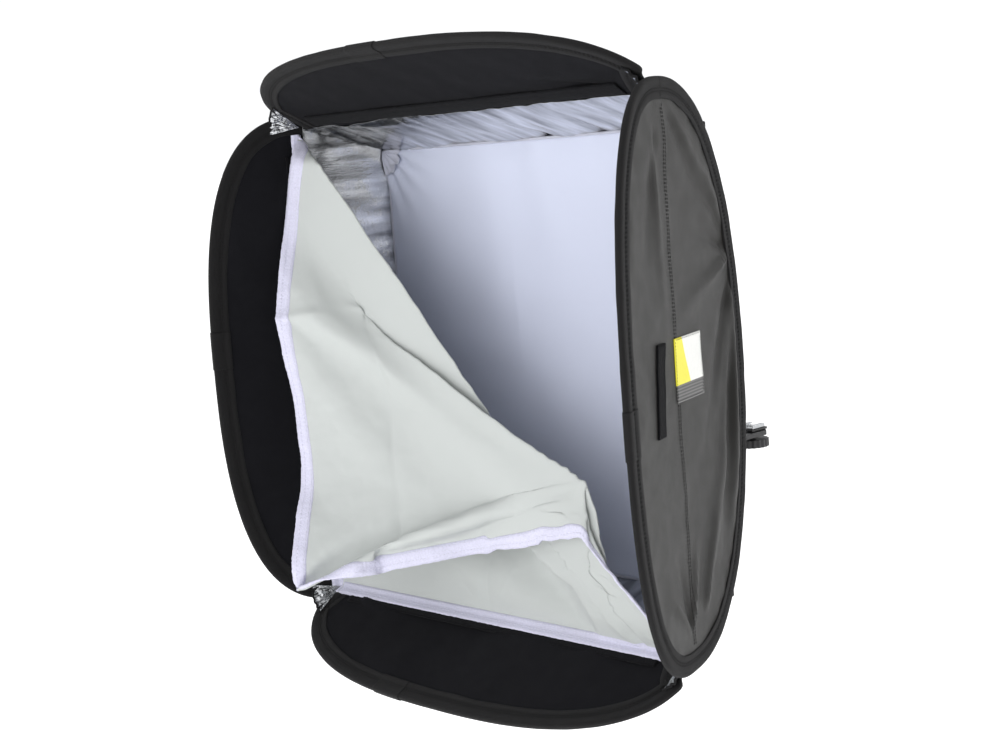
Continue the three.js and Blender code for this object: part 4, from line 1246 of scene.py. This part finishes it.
for node, body, material, slot, bevel in (
        ("bracket_upright", "bracket", BLACK_METAL, "black_metal", 0.0005),
        ("slide_arm", "bracket", BLACK_METAL, "black_metal", 0.0006),
        ("tilt_head_upper", "bracket", PLASTIC, "black_plastic", 0.0008),
        ("stand_receiver", "receiver", PLASTIC, "black_plastic", 0.0007),
        ("tilt_bolt", "receiver", PLATE, "shoe_metal", 0.0004),
        ("tilt_lever", "tilt_lever", PLASTIC, "black_plastic", 0.0012),
        ("receiver_screw", "receiver_screw", PLASTIC, "black_plastic", 0.0005),
        ("ring_screw_left", "ring_screw_left", PLASTIC, "black_plastic", 0.0004),
        ("ring_screw_right", "ring_screw_right", PLASTIC, "black_plastic", 0.0004),
        ("shoe_carriage", "shoe", PLASTIC, "black_plastic", 0.0006),
        ("cold_shoe", "shoe", PLATE, "shoe_metal", 0.0003),
        ("carriage_knob", "carriage_knob", PLASTIC, "black_plastic", 0.0006)):
    refine(node, f"{node}_fine", body, material, bevel)

for side_name in SIDES:
    for part in ("hoop", "hoop_ferrule"):
        node_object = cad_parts[f"{side_name}_{part}"]
        node_object.data.materials.clear()
        node_object.data.materials.append(STEEL)


# ---------------------------------------------------------------- stage, light and camera

FLOOR_SIZE = 300.0
FLOOR_HEIGHT = -0.62


def stage_floor():
    size, height = FLOOR_SIZE, FLOOR_HEIGHT
    verts = [(-size, -size, height), (size, -size, height), (size, size, height), (-size, size, height)]
    mesh = bpy.data.meshes.new("floor")
    mesh.from_pydata(verts, [], [(0, 1, 2, 3)])
    floor = bpy.data.objects.new("floor", mesh)
    bpy.context.scene.collection.objects.link(floor)
    paint = Shade("floor_paint", (0.93, 0.93, 0.93), 0.9, specular=0.1)
    paint.vary_color(paint.noise(0.8, 2), 0.995, 1.005)
    paint.shader.inputs["Emission Color"].default_value = (1, 1, 1, 1)
    paint.shader.inputs["Emission Strength"].default_value = 0.8
    mesh.materials.append(paint.material)


def area_light(name, position, target, size, power):
    data = bpy.data.lights.new(name, "AREA")
    data.shape = "RECTANGLE"
    data.size, data.size_y = size
    data.energy = power
    light = bpy.data.objects.new(name, data)
    light.location = position
    light.rotation_euler = (Vector(target) - Vector(position)).to_track_quat("-Z", "Y").to_euler()
    bpy.context.scene.collection.objects.link(light)


VIEW = Vector((-0.7229, 0.6787, -0.1296)).normalized()
CAMERA_UP = Vector((-0.0409, 0.1452, 0.9886))
CAMERA_PLACE = Vector((2.4580, -2.2559, 0.4208)) * OPENING
FOCAL_LENGTH = 62.2


def set_world():
    """White studio wall behind the box, dimmer room in front of it."""
    world = bpy.data.worlds.new("studio")
    bpy.context.scene.world = world
    world.use_nodes = True
    nodes, links = world.node_tree.nodes, world.node_tree.links
    place_node = nodes.new("ShaderNodeTexCoord")
    dot = nodes.new("ShaderNodeVectorMath")
    dot.operation = "DOT_PRODUCT"
    dot.inputs[1].default_value = VIEW
    ramp = nodes.new("ShaderNodeMapRange")
    ramp.inputs["From Min"].default_value = 0.55
    ramp.inputs["From Max"].default_value = 0.90
    ramp.inputs["To Min"].default_value = 0.56
    ramp.inputs["To Max"].default_value = 1.06
    background = nodes["Background"]
    background.inputs["Color"].default_value = (0.98, 0.985, 1.0, 1)
    links.new(place_node.outputs["Generated"], dot.inputs[0])
    links.new(dot.outputs["Value"], ramp.inputs["Value"])
    links.new(ramp.outputs[0], background.inputs["Strength"])


def set_camera():
    """The photograph's view: focal length, place and lean, worked out in the frame of the box."""
    data = bpy.data.cameras.new("camera")
    data.sensor_width = 36
    data.lens = FOCAL_LENGTH
    camera = bpy.data.objects.new("camera", data)
    right = VIEW.cross(CAMERA_UP).normalized()
    up = right.cross(VIEW)
    turn = Matrix((right, up, -VIEW)).transposed().to_4x4()
    camera.matrix_world = Matrix.Translation(CAMERA_PLACE + Vector(ORIGIN)) @ turn
    bpy.context.scene.collection.objects.link(camera)
    bpy.context.scene.camera = camera


CENTRE = (0.0, -0.30, 0.28)
stage_floor()
area_light("key", (-0.4, -2.8, 1.1), CENTRE, (1.8, 1.8), 10.5)
area_light("fill_front", (0.7, -2.6, 0.0), CENTRE, (2.2, 1.8), 9)
area_light("fill_right", (1.5, -2.3, 0.8), CENTRE, (1.4, 1.4), 7)
area_light("rim_back", (1.3, 2.4, 0.7), CENTRE, (0.4, 1.4), 14)
area_light("top", (0.0, -0.9, 2.4), CENTRE, (1.4, 1.4), 5)
set_world()
set_camera()
bpy.context.scene.view_settings.view_transform = "Standard"
